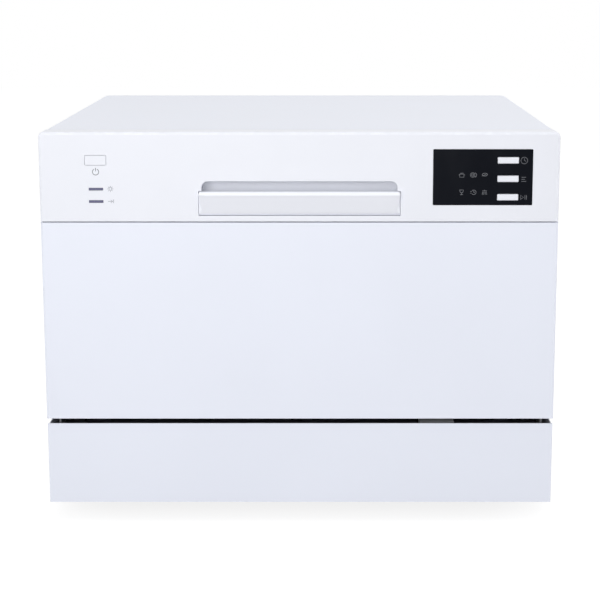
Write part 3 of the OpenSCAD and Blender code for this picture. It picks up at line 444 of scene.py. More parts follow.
@dataclass(frozen=True)
class BrightPlating(Finish):
    """Bright plated steel, with fine drawing marks and dull spots."""

    def build(self, s: Shader) -> Material:
        """Writes the shader."""
        fine, cloud = s.noise(1900, 2), s.noise(160, 3)
        tint = s.mix(s.ramp(cloud, 0.4, 0.7), self.colour, self.tone(0.8))
        return s.set(
            Base_Color=s.mix(s.edge() * 0.5, tint, self.tone(1.2)),
            Metallic=1.0,
            Roughness=self.roughness + s.ramp(cloud, 0.45, 0.75) * 0.15 + (fine - 0.5) * 0.08,
            Normal=s.emboss(fine, 6e-6),
        )


@dataclass(frozen=True)
class CoatedWire(Finish):
    """Nylon dipped over steel wire: soft lumps, pinholes and a waxy gloss."""

    def build(self, s: Shader) -> Material:
        """Writes the shader."""
        lump, pit = s.noise(240, 3), s.ramp(s.cells(420), 0.0, 0.16)
        tint = s.mix(s.ramp(s.noise(25, 2), 0.3, 0.7), self.tone(0.94), self.colour)
        return s.set(
            Base_Color=s.mix(pit, self.tone(0.86), tint),
            Roughness=self.roughness + (lump - 0.5) * 0.15,
            Normal=s.emboss(lump, 0.00008, s.emboss(pit, 0.00001)),
            Coat_Weight=0.15,
            Coat_Roughness=0.25,
        )


@dataclass(frozen=True)
class Rubber(Finish):
    """Rubber with a dusty bloom and moulding grain."""

    def build(self, s: Shader) -> Material:
        """Writes the shader."""
        bloom, grain = s.ramp(s.noise(45, 4), 0.4, 0.7), s.noise(2100, 2)
        return s.set(
            Base_Color=s.mix(bloom * 0.6, self.colour, self.tone(1.5)),
            Roughness=self.roughness + bloom * 0.12 + (grain - 0.5) * 0.1,
            Normal=s.emboss(grain, 0.00002),
            Specular_IOR_Level=0.3,
        )


@dataclass(frozen=True)
class GlossWindow(Finish):
    """Polished plastic with faint smears that only show in its gloss."""

    specular: float = 0.10

    def build(self, s: Shader) -> Material:
        """Writes the shader."""
        smear = s.ramp(s.noise(1.0, 4, s.stretched((60, 60, 22))), 0.45, 0.75)
        dust = s.ramp(s.cells(900), 0.0, 0.1)
        return s.set(
            Base_Color=s.mix(dust, self.tone(1.6), self.colour),
            Roughness=self.roughness + smear * 0.08,
            Normal=s.emboss(s.noise(120, 1), 4e-6),
            Specular_IOR_Level=self.specular,
        )


@dataclass(frozen=True)
class LampLens(Finish):
    """Smoked lens over a lamp, with fine upright flutes."""

    def build(self, s: Shader) -> Material:
        """Writes the shader."""
        flutes = s.add(
            "ShaderNodeTexWave",
            {"wave_type": "BANDS", "bands_direction": "X"},
            {"Vector": s.place, "Scale": 320.0, "Distortion": 0.0},
            "Fac",
        )
        cloud = s.noise(180, 2)
        return s.set(
            Base_Color=s.mix(flutes * 0.5 + cloud * 0.3, self.colour, self.tone(1.5)),
            Roughness=self.roughness + (cloud - 0.5) * 0.1,
            Normal=s.emboss(flutes, 0.00003),
            Specular_IOR_Level=0.4,
        )


@dataclass(frozen=True)
class CircuitBoard(Finish):
    """Solder mask over copper tracks, with bare pads."""

    def build(self, s: Shader) -> Material:
        """Writes the shader."""
        tracks = s.add(
            "ShaderNodeTexBrick",
            {"offset": 0.35, "offset_frequency": 3, "squash": 0.6, "squash_frequency": 4},
            {"Vector": s.stretched((1, 1, 1)), "Scale": 95.0, "Mortar Size": 0.045},
            "Fac",
        )
        pads = s.ramp(s.cells(210), 0.16, 0.13)
        mask = s.mix(tracks, self.colour, self.tone(1.9))
        return s.set(
            Base_Color=s.mix(pads, mask, (0.62, 0.60, 0.55)),
            Roughness=self.roughness - pads * 0.1 + (s.noise(500, 2) - 0.5) * 0.08,
            Metallic=pads * 0.8,
            Normal=s.emboss(tracks + pads, 0.00003),
        )


@dataclass(frozen=True)
class CastMetal(Finish):
    """Bare cast or drawn metal with a sandy skin."""

    def build(self, s: Shader) -> Material:
        """Writes the shader."""
        skin, cloud = s.noise(900, 4), s.noise(40, 3)
        tint = s.mix(cloud, self.tone(0.8), self.tone(1.1))
        return s.set(
            Base_Color=s.mix(s.edge() * 0.5, tint, self.tone(1.3)),
            Metallic=0.9,
            Roughness=self.roughness + (skin - 0.5) * 0.2,
            Normal=s.emboss(skin, 0.00005),
        )


@dataclass(frozen=True)
class PadPrint(Finish):
    """Printed ink, a little uneven in cover."""

    def build(self, s: Shader) -> Material:
        """Writes the shader."""
        cover = s.noise(2600, 2)
        return s.set(
            Base_Color=s.mix(s.ramp(cover, 0.25, 0.75), self.tone(1.15), self.tone(0.92)),
            Roughness=self.roughness + (cover - 0.5) * 0.15,
            Normal=s.emboss(cover, 6e-6),
            Specular_IOR_Level=0.3,
        )


ENAMEL = PaintedSteel("white_enamel", "painted_white", (0.815, 0.843, 0.935), 0.34)
SATIN = (0.36, 2400.0, 5e-6, 0.45, 0.006)
SATIN_WHITE = MouldedPlastic("satin_white", "fascia_white", (0.822, 0.838, 0.900), *SATIN)
# The handle is moulded in the fascia's plastic; this lighter copy is painted light, standing in for light
# that the handle's face does not get.
HANDLE_WHITE_PAINTED_LIGHT = MouldedPlastic("handle_white", "fascia_white", (0.888, 0.903, 0.965), *SATIN)
BLACK_GLOSS = GlossWindow("black_gloss", "window_black", (0.0035, 0.0045, 0.0080), 0.13, 0.055)
SMOKED_LENS = LampLens("smoked_lens", "lamp_lens", (0.085, 0.085, 0.16), 0.25)
TUB_STEEL = BrushedSteel("tub_steel", "stainless", (0.62, 0.62, 0.63), 0.30, Axis.Y)
LINER_STEEL = BrushedSteel("liner_steel", "stainless", (0.62, 0.62, 0.63), 0.28, Axis.X)
ARM_STEEL = BrushedSteel("arm_steel", "stainless", (0.60, 0.60, 0.61), 0.24, Axis.X)
ZINC = ZincSheet("zinc_sheet", "galvanised", (0.55, 0.56, 0.57), 0.42)
PLATED = BrightPlating("plated_steel", "plated_screw", (0.72, 0.72, 0.74), 0.20)
DARK_PLASTIC = MouldedPlastic("dark_plastic", "dark_plastic", (0.018, 0.019, 0.023), 0.50, 1100.0, 0.00003)
GREY_PLASTIC = MouldedPlastic("grey_plastic", "grey_plastic", (0.30, 0.32, 0.35), 0.42, 1300.0, 0.00002)
PALE_PLASTIC = MouldedPlastic("pale_plastic", "white_plastic", (0.74, 0.75, 0.77), 0.40, 1500.0, 0.00002)
NYLON_WIRE = CoatedWire("nylon_wire", "coated_wire", (0.70, 0.71, 0.74), 0.34)
GREY_RUBBER = Rubber("grey_rubber", "grey_rubber", (0.075, 0.080, 0.086), 0.66)
BLACK_RUBBER = Rubber("black_rubber", "black_rubber", (0.022, 0.022, 0.023), 0.70)
BOARD_GREEN = CircuitBoard("board_green", "circuit_board", (0.020, 0.115, 0.050), 0.38)
PUMP_METAL = CastMetal("pump_metal", "pump_steel", (0.55, 0.56, 0.58), 0.38)
COPPER = BrightPlating("copper_winding", "pump_steel", (0.72, 0.36, 0.22), 0.28)
GREY_INK = PadPrint("grey_ink", "fascia_white", (0.22, 0.23, 0.26), 0.55)
PALE_INK = PadPrint("pale_ink", "fascia_white", (0.33, 0.34, 0.39), 0.55)
PANEL_INK = PadPrint("panel_ink", "window_black", (0.14, 0.145, 0.16), 0.50)


# ---- meshes


def link(name: str, mesh: Mesh) -> Piece:
    """Puts a mesh in the scene.

    Args:
        name: Name of the object.
        mesh: Its mesh.

    Returns:
        The object, at the origin.
    """
    made = bpy.data.objects.new(name, mesh)
    bpy.context.scene.collection.objects.link(made)
    return made


def baked(host: Piece) -> Piece:
    """Turns an object's modifiers into a plain mesh.

    Args:
        host: The object, whose modifiers are removed.

    Returns:
        The same object with its evaluated mesh.
    """
    bpy.context.view_layer.update()
    depsgraph = bpy.context.evaluated_depsgraph_get()
    mesh = bpy.data.meshes.new_from_object(host.evaluated_get(depsgraph), depsgraph=depsgraph)
    mesh.name = host.name
    host.modifiers.clear()
    host.data = mesh
    return host


def smoothed(mesh: Mesh, sharp: float = 35.0) -> Mesh:
    """Shades a mesh smooth.

    Args:
        mesh: The mesh.
        sharp: Edges sharper than this many degrees stay sharp.

    Returns:
        The same mesh.
    """
    mesh.shade_smooth()
    mesh.set_sharp_from_angle(angle=radians(sharp))
    return mesh


@dataclass(frozen=True)
class Rounding:
    """A width for the edges that pass a test on their middle point, in millimetres."""

    width: float
    chosen: Callable[[Vector], bool]


def sharp_edges(edges: Iterable[bmesh.types.BMEdge]) -> list[bmesh.types.BMEdge]:
    """The edges at which two faces meet at more than 30 degrees."""
    return [e for e in edges if len(e.link_faces) == 2 and e.calc_face_angle(0.0) > radians(30)]


def softened(
    node: Piece, name: str, fine: float = 0.3, broad: Sequence[Rounding] = (), segments: int = 2
) -> Piece:
    """Copies a CAD node and rounds its edges.

    Args:
        node: The node to copy.
        name: Name of the new piece.
        fine: Width of the rounding where no broad one applies.
        broad: Wider roundings, tried in order.
        segments: Faces across each rounding.

    Returns:
        The new piece, whose "edge" attribute is 1 on the rounded faces.
    """
    tries, change_allowed, flat = 4, 0.08, radians(0.5)
    widest = max([fine] + [r.width for r in broad])
    for attempt in range(tries):
        form = bmesh.new()
        form.from_mesh(node.data)
        bmesh.ops.remove_doubles(form, verts=form.verts, dist=DOUBLE)
        bmesh.ops.dissolve_limit(form, angle_limit=flat, verts=form.verts, edges=form.edges)
        before = form.calc_volume()
        weight = form.edges.layers.float.new("bevel_weight_edge")
        for edge in sharp_edges(form.edges):
            middle = (edge.verts[0].co + edge.verts[1].co) / (2 * MM)
            edge[weight] = next((r.width for r in broad if r.chosen(middle)), fine) / widest
        mesh = finished(form, name)
        mesh.materials.append(None)
        mesh.materials.append(None)
        mesh.polygons.foreach_set("material_index", [0] * len(mesh.polygons))
        piece = link(name, mesh)
        rounding = piece.modifiers.new("Rounding", "BEVEL")
        rounding.limit_method = "WEIGHT"
        rounding.width = widest * MM * 0.5**attempt
        rounding.segments = segments
        rounding.use_clamp_overlap = False
        rounding.loop_slide = False
        rounding.material = 1
        baked(piece)
        after = volume(piece.data)
        if abs(after - before) < change_allowed * abs(before):
            break
        LOG.warning("%s: rounding of %.2f mm changed its volume too much", name, widest * 0.5**attempt)
        bpy.data.objects.remove(piece)
    mark_edges(piece.data)
    smoothed(piece.data)
    even = piece.modifiers.new("Even", "WEIGHTED_NORMAL")
    even.keep_sharp = True
    return piece


def finished(form: bmesh.types.BMesh, name: str) -> Mesh:
    """Writes faces under construction to a new mesh.

    Args:
        form: The faces, which are used up.
        name: Name of the mesh.

    Returns:
        The mesh.
    """
    mesh = bpy.data.meshes.new(name)
    form.to_mesh(mesh)
    form.free()
    return mesh


def volume(mesh: Mesh) -> float:
    """Measures a closed mesh.

    Args:
        mesh: The mesh.

    Returns:
        The volume that it encloses, in cubic metres.
    """
    form = bmesh.new()
    form.from_mesh(mesh)
    found = form.calc_volume()
    form.free()
    return found


def mark_edges(mesh: Mesh) -> None:
    """Writes the "edge" attribute from the material number of the rounded faces.

    Args:
        mesh: The mesh, whose material slots are removed.
    """
    count = len(mesh.polygons)
    numbers = [0] * count
    mesh.polygons.foreach_get("material_index", numbers)
    attribute = mesh.attributes.new("edge", "FLOAT", "FACE")
    attribute.data.foreach_set("value", [float(n) for n in numbers])
    mesh.polygons.foreach_set("material_index", [0] * count)
    mesh.materials.clear()


class Solid:
    """Faces under construction, in millimetres, that become one object in metres."""

    def __init__(self) -> None:
        """Starts with nothing."""
        self.form = bmesh.new()

    def block(self, x: Span, y: Span, z: Span, rounding: float = 0.0, segments: int = 2) -> Solid:
        """Adds a block.

        Args:
            x: Where it starts and ends along X.
            y: The same along Y.
            z: The same along Z.
            rounding: Width of the rounding of its edges.
            segments: Faces across the rounding.

        Returns:
            This solid.
        """
        made = bmesh.ops.create_cube(self.form, size=1.0)["verts"]
        low, high = Vector((x[0], y[0], z[0])), Vector((x[1], y[1], z[1]))
        for vert in made:
            vert.co = Vector((low[i] + (vert.co[i] + 0.5) * (high[i] - low[i]) for i in range(3)))
        self._round((e for v in made for e in v.link_edges), rounding, segments)
        return self

    def prism(
        self, axis: Axis, outline: Sequence[Span], depth: Span, rounding: float = 0.0, segments: int = 2
    ) -> Solid:
        """Extrudes a drawing along an axis, with its sharp edges rounded.

        Args:
            axis: The axis of the extrusion.
            outline: Corners of the drawing.
            depth: Where it starts and ends along the axis.
            rounding: Width of the rounding.
            segments: Faces across the rounding.

        Returns:
            This solid.
        """
        rings = [[self.form.verts.new(axis.lay(a, b, d)) for a, b in outline] for d in depth]
        faces = self._skin(rings) + [self.form.faces.new(rings[0]), self.form.faces.new(rings[1])]
        self._round(sharp_edges(e for f in faces for e in f.edges), rounding, segments)
        return self

    def turned(
        self, axis: Axis, centre: Span, profile: Sequence[Span], steps: int = 48, ring: bool = False,
        wave: Wave | None = None
    ) -> Solid:
        """Turns a profile about an axis.

        Args:
            axis: The axis of the turning.
            centre: Where the axis stands, as a drawing's two values.
            profile: Radius and place along the axis of each corner.
            steps: Faces round the turn.
            ring: Whether the profile closes on itself, as on a bored piece.
            wave: A factor on the radius from the angle and the radius, as on a ribbed cap.

        Returns:
            This solid.
        """
        rings = []
        for radius, depth in profile:
            if radius <= 0 and not ring:
                rings.append([self.form.verts.new(axis.lay(*centre, depth))])
                continue
            loop = []
            for i in range(steps):
                angle = 2 * pi * i / steps
                far = radius * (wave(angle, radius) if wave else 1.0)
                a, b = centre[0] + far * cos(angle), centre[1] + far * sin(angle)
                loop.append(self.form.verts.new(axis.lay(a, b, depth)))
            rings.append(loop)
        self._skin(rings + ([rings[0]] if ring else []))
        if not ring:
            for loop in (rings[0], rings[-1]):
                if len(loop) > 1:
                    self.form.faces.new(loop)
        return self

    def loft(self, rings: Sequence[Sequence[Point]]) -> Solid:
        """Skins closed rings, and closes both ends.

        Args:
            rings: Points of each ring, as many on each.

        Returns:
            This solid.
        """
        made = [[self.form.verts.new(p) for p in ring] for ring in rings]
        self._skin(made)
        self.form.faces.new(made[0])
        self.form.faces.new(made[-1])
        return self

    def _skin(self, rings: Sequence[Sequence[bmesh.types.BMVert]]) -> list[bmesh.types.BMFace]:
        """Makes faces between following rings.

        Args:
            rings: Corners of each ring, or a single one where it closes to a point.

        Returns:
            The faces.
        """
        faces = []
        for low, high in zip(rings, rings[1:]):
            count = max(len(low), len(high))
            for i in range(count):
                j = (i + 1) % count
                here = [low[i], low[j]] if len(low) > 1 else list(low)
                there = [high[j], high[i]] if len(high) > 1 else list(high)
                faces.append(self.form.faces.new(here + there))
        return faces

    def _round(self, edges: Iterable[bmesh.types.BMEdge], width: float, segments: int) -> None:
        """Rounds edges.

        Args:
            edges: The edges, each named once or more.
            width: Width of the rounding, or 0 for none.
            segments: Faces across it.
        """
        if width > 0:
            bmesh.ops.bevel(
                self.form, geom=list(dict.fromkeys(edges)), offset=width, segments=segments, profile=0.5,
                affect="EDGES", clamp_overlap=True
            )

    def mirrored(self) -> Solid:
        """Adds the same faces on the other side of the machine, and returns this solid."""
        form = self.form
        copy = bmesh.ops.duplicate(form, geom=form.verts[:] + form.edges[:] + form.faces[:])
        for item in copy["geom"]:
            if isinstance(item, bmesh.types.BMVert):
                item.co.x = -item.co.x
        return self

    def close(self, name: str, sharp: float = 35.0) -> Piece:
        """Turns the faces outwards and makes the object.

        Args:
            name: Name of the piece.
            sharp: Edges sharper than this many degrees stay sharp.

        Returns:
            The object, in metres.
        """
        bmesh.ops.recalc_face_normals(self.form, faces=self.form.faces)
        bmesh.ops.scale(self.form, vec=(MM, MM, MM), verts=self.form.verts)
        return link(name, smoothed(finished(self.form, name), sharp))


def traced(name: str, paths: Sequence[Path], closed: bool = False) -> Piece:
    """Makes paths of edges only, in metres, for a tree to sweep.

    Args:
        name: Name of the object.
        paths: Points of each path, in millimetres.
        closed: Whether each path returns to its first point.

    Returns:
        The object.
    """
    points, edges = [], []
    for path in paths:
        first = len(points)
        points += [tuple(c * MM for c in p) for p in path]
        edges += [(first + i, first + i + 1) for i in range(len(path) - 1)]
        if closed:
            edges.append((first + len(path) - 1, first))
    mesh = bpy.data.meshes.new(name)
    mesh.from_pydata(points, edges, [])
    return link(name, mesh)


def spread(first: float, last: float, count: int) -> list[float]:
    """Evenly spaced values from first to last."""
    return [first + (last - first) * i / (count - 1) for i in range(count)]


def arc(centre: Span, radius: float, start: float, end: float, steps: int = 12) -> list[Span]:
    """Draws an arc.

    Args:
        centre: Its middle.
        radius: Its radius.
        start: Angle of its first point, in degrees.
        end: Angle of its last point.
        steps: Number of points.

    Returns:
        The points.
    """
    return [
        (centre[0] + radius * cos(radians(a)), centre[1] + radius * sin(radians(a)))
        for a in spread(start, end, steps)
    ]


def ribbed(count: int, depth: float, beyond: float, level: float) -> Wave:
    """Ribs round a turned piece, as on a grip.

    Args:
        count: Number of ribs.
        depth: Depth of the grooves between them, as a share of the radius.
        beyond: Radius past which the piece is ribbed.
        level: Where a groove starts on the rib's cosine.

    Returns:
        The factor on a radius.
    """
    return lambda angle, radius: 1.0 - depth * (radius > beyond and cos(count * angle) > level)


# ---- Geometry Nodes forms


class NodeForm(Graph):
    """A Geometry Nodes tree with named inputs, run on an object to make a plain mesh."""

    def __init__(self, name: str) -> None:
        """Starts the tree with its geometry input and output."""
        super().__init__(bpy.data.node_groups.new(name, "GeometryNodeTree"))
        face = self.tree.interface
        face.new_socket(name="Geometry", in_out="OUTPUT", socket_type="NodeSocketGeometry")
        face.new_socket(name="Geometry", in_out="INPUT", socket_type="NodeSocketGeometry")
        self.entry = self.tree.nodes.new("NodeGroupInput")
        self.exit = self.tree.nodes.new("NodeGroupOutput")
        self.host = Wire(self, self.entry.outputs["Geometry"])
        self.plan()

    def plan(self) -> None:
        """Writes the tree."""
        raise NotImplementedError

    def size(self, name: str, kind: str = "Float") -> Wire:
        """Adds a named input.

        Args:
            name: Its name.
            kind: Its type, as in the name of the socket's class.

        Returns:
            The wire of its value.
        """
        self.tree.interface.new_socket(name=name, in_out="INPUT", socket_type=f"NodeSocket{kind}")
        return Wire(self, self.entry.outputs[name])

    def close(self, geometry: Wire) -> None:
        """Ends the tree: real geometry, in the piece's material."""
        real = self.add("GeometryNodeRealizeInstances", None, {"Geometry": geometry})
        dressed = self.add(
            "GeometryNodeSetMaterial",
            None,
            {"Geometry": real, "Material": self.size("Material", "Material")},
        )
        self.tree.links.new(dressed.socket, self.exit.inputs["Geometry"])

    def curve(self, paths: Wire) -> Wire:
        """Paths of edges as curves."""
        return self.add("GeometryNodeMeshToCurve", None, {"Mesh": paths})

    def bent(self, line: Wire, steps: Value) -> Wire:
        """Curves with their corners rounded by the input Bend, in that many steps."""
        inputs = {"Curve": line, "Count": steps, "Radius": self.size("Bend"), "Limit Radius": True}
        return self.add("GeometryNodeFilletCurve", {"mode": "POLY"}, inputs)

    def circle(self, sides: Wire, radius: Wire) -> Wire:
        """A round section."""
        return self.add("GeometryNodeCurvePrimitiveCircle", None, {"Resolution": sides, 4: radius})

    def swept(self, line: Wire, profile: Wire, scale: Value = 1.0) -> Wire:
        """A section swept along curves, with closed ends."""
        inputs = {"Curve": line, "Profile Curve": profile, "Scale": scale, "Fill Caps": True}
        return self.add("GeometryNodeCurveToMesh", None, inputs)

    def given(self, name: str) -> Wire:
        """The geometry of another object, which is a named input."""
        return self.add("GeometryNodeObjectInfo", None, {"Object": self.size(name, "Object")}, "Geometry")

    def copied(self, points: Wire, template: Wire, **inputs: object) -> Wire:
        """A template on every point."""
        inputs |= {"Points": points, "Instance": template}
        return self.add("GeometryNodeInstanceOnPoints", None, inputs)

    def run(self, host: Piece, finish: Finish, turn: Matrix | None = None, **sizes: object) -> Piece:
        """Runs the tree on an object.

        Args:
            host: Paths, points or a solid, which becomes the piece.
            finish: The piece's finish.
            turn: A move for the finished mesh.
            sizes: The named inputs, with _ for each space in a name.

        Returns:
            The piece, with a plain mesh.
        """
        modifier = host.modifiers.new("Form", "NODES")
        modifier.node_group = self.tree
        wanted = {k.replace("_", " "): v for k, v in sizes.items()} | {"Material": finish.material()}
        for item in self.tree.interface.items_tree:
            if item.in_out == "INPUT" and item.name in wanted:
                modifier[item.identifier] = wanted[item.name]
        baked(host)
        if turn is not None:
            host.data.transform(turn)
        smoothed(host.data)
        return host


class BentRod(NodeForm):
    """A round rod along paths, bent at their corners, with domed ends."""

    def plan(self) -> None:
        """Writes the tree."""
        radius, sides, line = self.size("Radius"), self.size("Sides", "Int"), self.curve(self.host)
        rod = self.swept(self.bent(line, self.size("Steps", "Int")), self.circle(sides, radius))
        tips = self.add("GeometryNodeCurveEndpointSelection", None, {"Start Size": 1, "End Size": 1})
        wanted = {0: tips, 1: self.size("Domes", "Bool")}
        ends = self.add("FunctionNodeBooleanMath", {"operation": "AND"}, wanted)
        dome = self.add("GeometryNodeMeshUVSphere", None, {"Segments": sides, "Rings": 5, "Radius": radius})
        both = self.add("GeometryNodeJoinGeometry")
        for part in (rod, self.copied(line, dome, Selection=ends)):
            self.tree.links.new(part.socket, both.socket.node.inputs[0])
        self.close(both)


class RibbedHose(NodeForm):
    """A hose along a path, bent at its corners, with ribs round it."""

    def plan(self) -> None:
        """Writes the tree."""
        radius, rib, pitch = self.size("Radius"), self.size("Rib"), self.size("Pitch")
        inputs = {"Curve": self.bent(self.curve(self.host), 10), "Length": pitch / 6.0}
        even = self.add("GeometryNodeResampleCurve", {"mode": "LENGTH"}, inputs)
        along = self.add("GeometryNodeSplineParameter", output="Length")
        swell = self.maths("SINE", along / pitch * (2 * pi))
        section = self.circle(self.size("Sides", "Int"), radius)
        self.close(self.swept(even, section, 1.0 - rib / radius * (0.5 - swell * 0.5)))


class Repeated(NodeForm):
    """A template on every point, each turned about its own axis by a chance amount."""

    seed: ClassVar[int] = 7

    def plan(self) -> None:
        """Writes the tree."""
        template = self.given("Template")
        limits = {0: (0.0, 0.0, 0.0), 1: self.size("Turn", "Vector"), 8: self.seed}
        chance = self.add("FunctionNodeRandomValue", {"data_type": "FLOAT_VECTOR"}, limits)
        self.close(self.copied(self.host, template, Rotation=chance))


class Perforated(NodeForm):
    """A solid with a round hole through every point of another object, along its "aim"."""

    def plan(self) -> None:
        """Writes the tree."""
        points = self.given("Holes")
        aim = self.add("GeometryNodeInputNamedAttribute", {"data_type": "FLOAT_VECTOR"}, {"Name": "aim"})
        turn = self.add("FunctionNodeAlignRotationToVector", {"axis": "Z"}, {"Vector": aim})
        shape = {
            "Vertices": self.size("Sides", "Int"), "Radius": self.size("Radius"),
            "Depth": self.size("Depth")
        }
        drills = self.copied(points, self.add("GeometryNodeMeshCylinder", None, shape), Rotation=turn)
        real = self.add("GeometryNodeRealizeInstances", None, {"Geometry": drills})
        settings = {"operation": "DIFFERENCE", "solver": "MANIFOLD"}
        self.close(self.add("GeometryNodeMeshBoolean", settings, {"Mesh 1": self.host, "Mesh 2": real}))


class SweptProfile(NodeForm):
    """A drawn profile swept along paths that are drawn flat: +X to the right of the way, +Y down."""

    def plan(self) -> None:
        """Writes the tree."""
        profile, line = self.given("Profile"), self.curve(self.host)
        bent = self.bent(line, self.size("Steps", "Int"))
        flat = self.add("GeometryNodeSetCurveNormal", {"mode": "Z_UP"}, {"Curve": bent})
        self.close(self.swept(flat, self.curve(profile)))


@dataclass(frozen=True)
class Trees:
    """The Geometry Nodes trees, which the sub-assemblies share."""

    rod: NodeForm = field(default_factory=lambda: BentRod("bent_rod"))
    hose: NodeForm = field(default_factory=lambda: RibbedHose("ribbed_hose"))
    repeat: NodeForm = field(default_factory=lambda: Repeated("repeated_template"))
    drill: NodeForm = field(default_factory=lambda: Perforated("perforated_solid"))
    sweep: NodeForm = field(default_factory=lambda: SweptProfile("swept_profile"))


@dataclass(frozen=True)
class Hole:
    """A hole's middle and direction, in millimetres."""

    place: Point
    aim: Point


FRONT_PLANE = Matrix.Rotation(radians(90), 4, "X")


def standing(depth: float) -> Matrix:
    """Stands a drawing in X and Y up as X and Z, at a place along Y in millimetres."""
    return Matrix.Translation((0, depth * MM, 0)) @ FRONT_PLANE


def recalculated(mesh: Mesh) -> None:
    """Turns a closed mesh's faces outwards.

    Args:
        mesh: The mesh, whose doubles are merged.
    """
    form = bmesh.new()
    form.from_mesh(mesh)
    bmesh.ops.remove_doubles(form, verts=form.verts, dist=1e-7)
    bmesh.ops.recalc_face_normals(form, faces=form.faces)
    form.to_mesh(mesh)
    form.free()
    smoothed(mesh)


def joined(name: str, pieces: Sequence[Piece]) -> Piece:
    """Joins several plain pieces of one finish as one object.

    Args:
        name: Name of the new piece.
        pieces: The pieces, which are used up.

    Returns:
        The new piece.
    """
    form = bmesh.new()
    for piece in pieces:
        form.from_mesh(baked(piece).data)
        bpy.data.objects.remove(piece)
    return link(name, smoothed(finished(form, name)))


# ---- what the sub-assemblies share


def carved(piece: Piece, cutter: Piece) -> Piece:
    """Cuts one closed solid out of another.

    Args:
        piece: The solid that is cut.
        cutter: What is cut out of it, which is used up.

    Returns:
        The piece.
    """
    cut = piece.modifiers.new("Cut", "BOOLEAN")
    cut.operation = "DIFFERENCE"
    cut.solver = "EXACT"
    cut.object = cutter
    baked(piece)
    bpy.data.objects.remove(cutter)
    smoothed(piece.data)
    return piece


@dataclass(frozen=True)
class CrossScrew:
    """A pan-head screw with a cross recess, whose head faces +Y from the origin."""

    head: float
    height: float
    shank: float = 1.65
    length: float = 8.8

    def template(self) -> Piece:
        """One screw at the origin."""
        top, far = self.height, self.head
        profile = [
            (0, -self.length), (self.shank * 0.3, -self.length + 0.3), (self.shank, -self.length + 2),
            (self.shank, 0.02), (far, 0.02), (far, top * 0.3), (far * 0.93, top * 0.62),
            (far * 0.72, top * 0.9), (far * 0.45, top), (0, top)
        ]
        screw = Solid().turned(Axis.Y, (0, 0), profile, 20).close("screw", FIRM)
        wide, slim = far * 0.58, far * 0.15
        cross = [(wide, slim), (slim, slim), (slim, wide), (-slim, wide), (-slim, slim), (-wide, slim)]
        cross += [(-a, -b) for a, b in cross]
        cutter = Solid().prism(Axis.Y, cross, (top * 0.25, top + 1)).close("recess")
        return carved(screw, cutter)


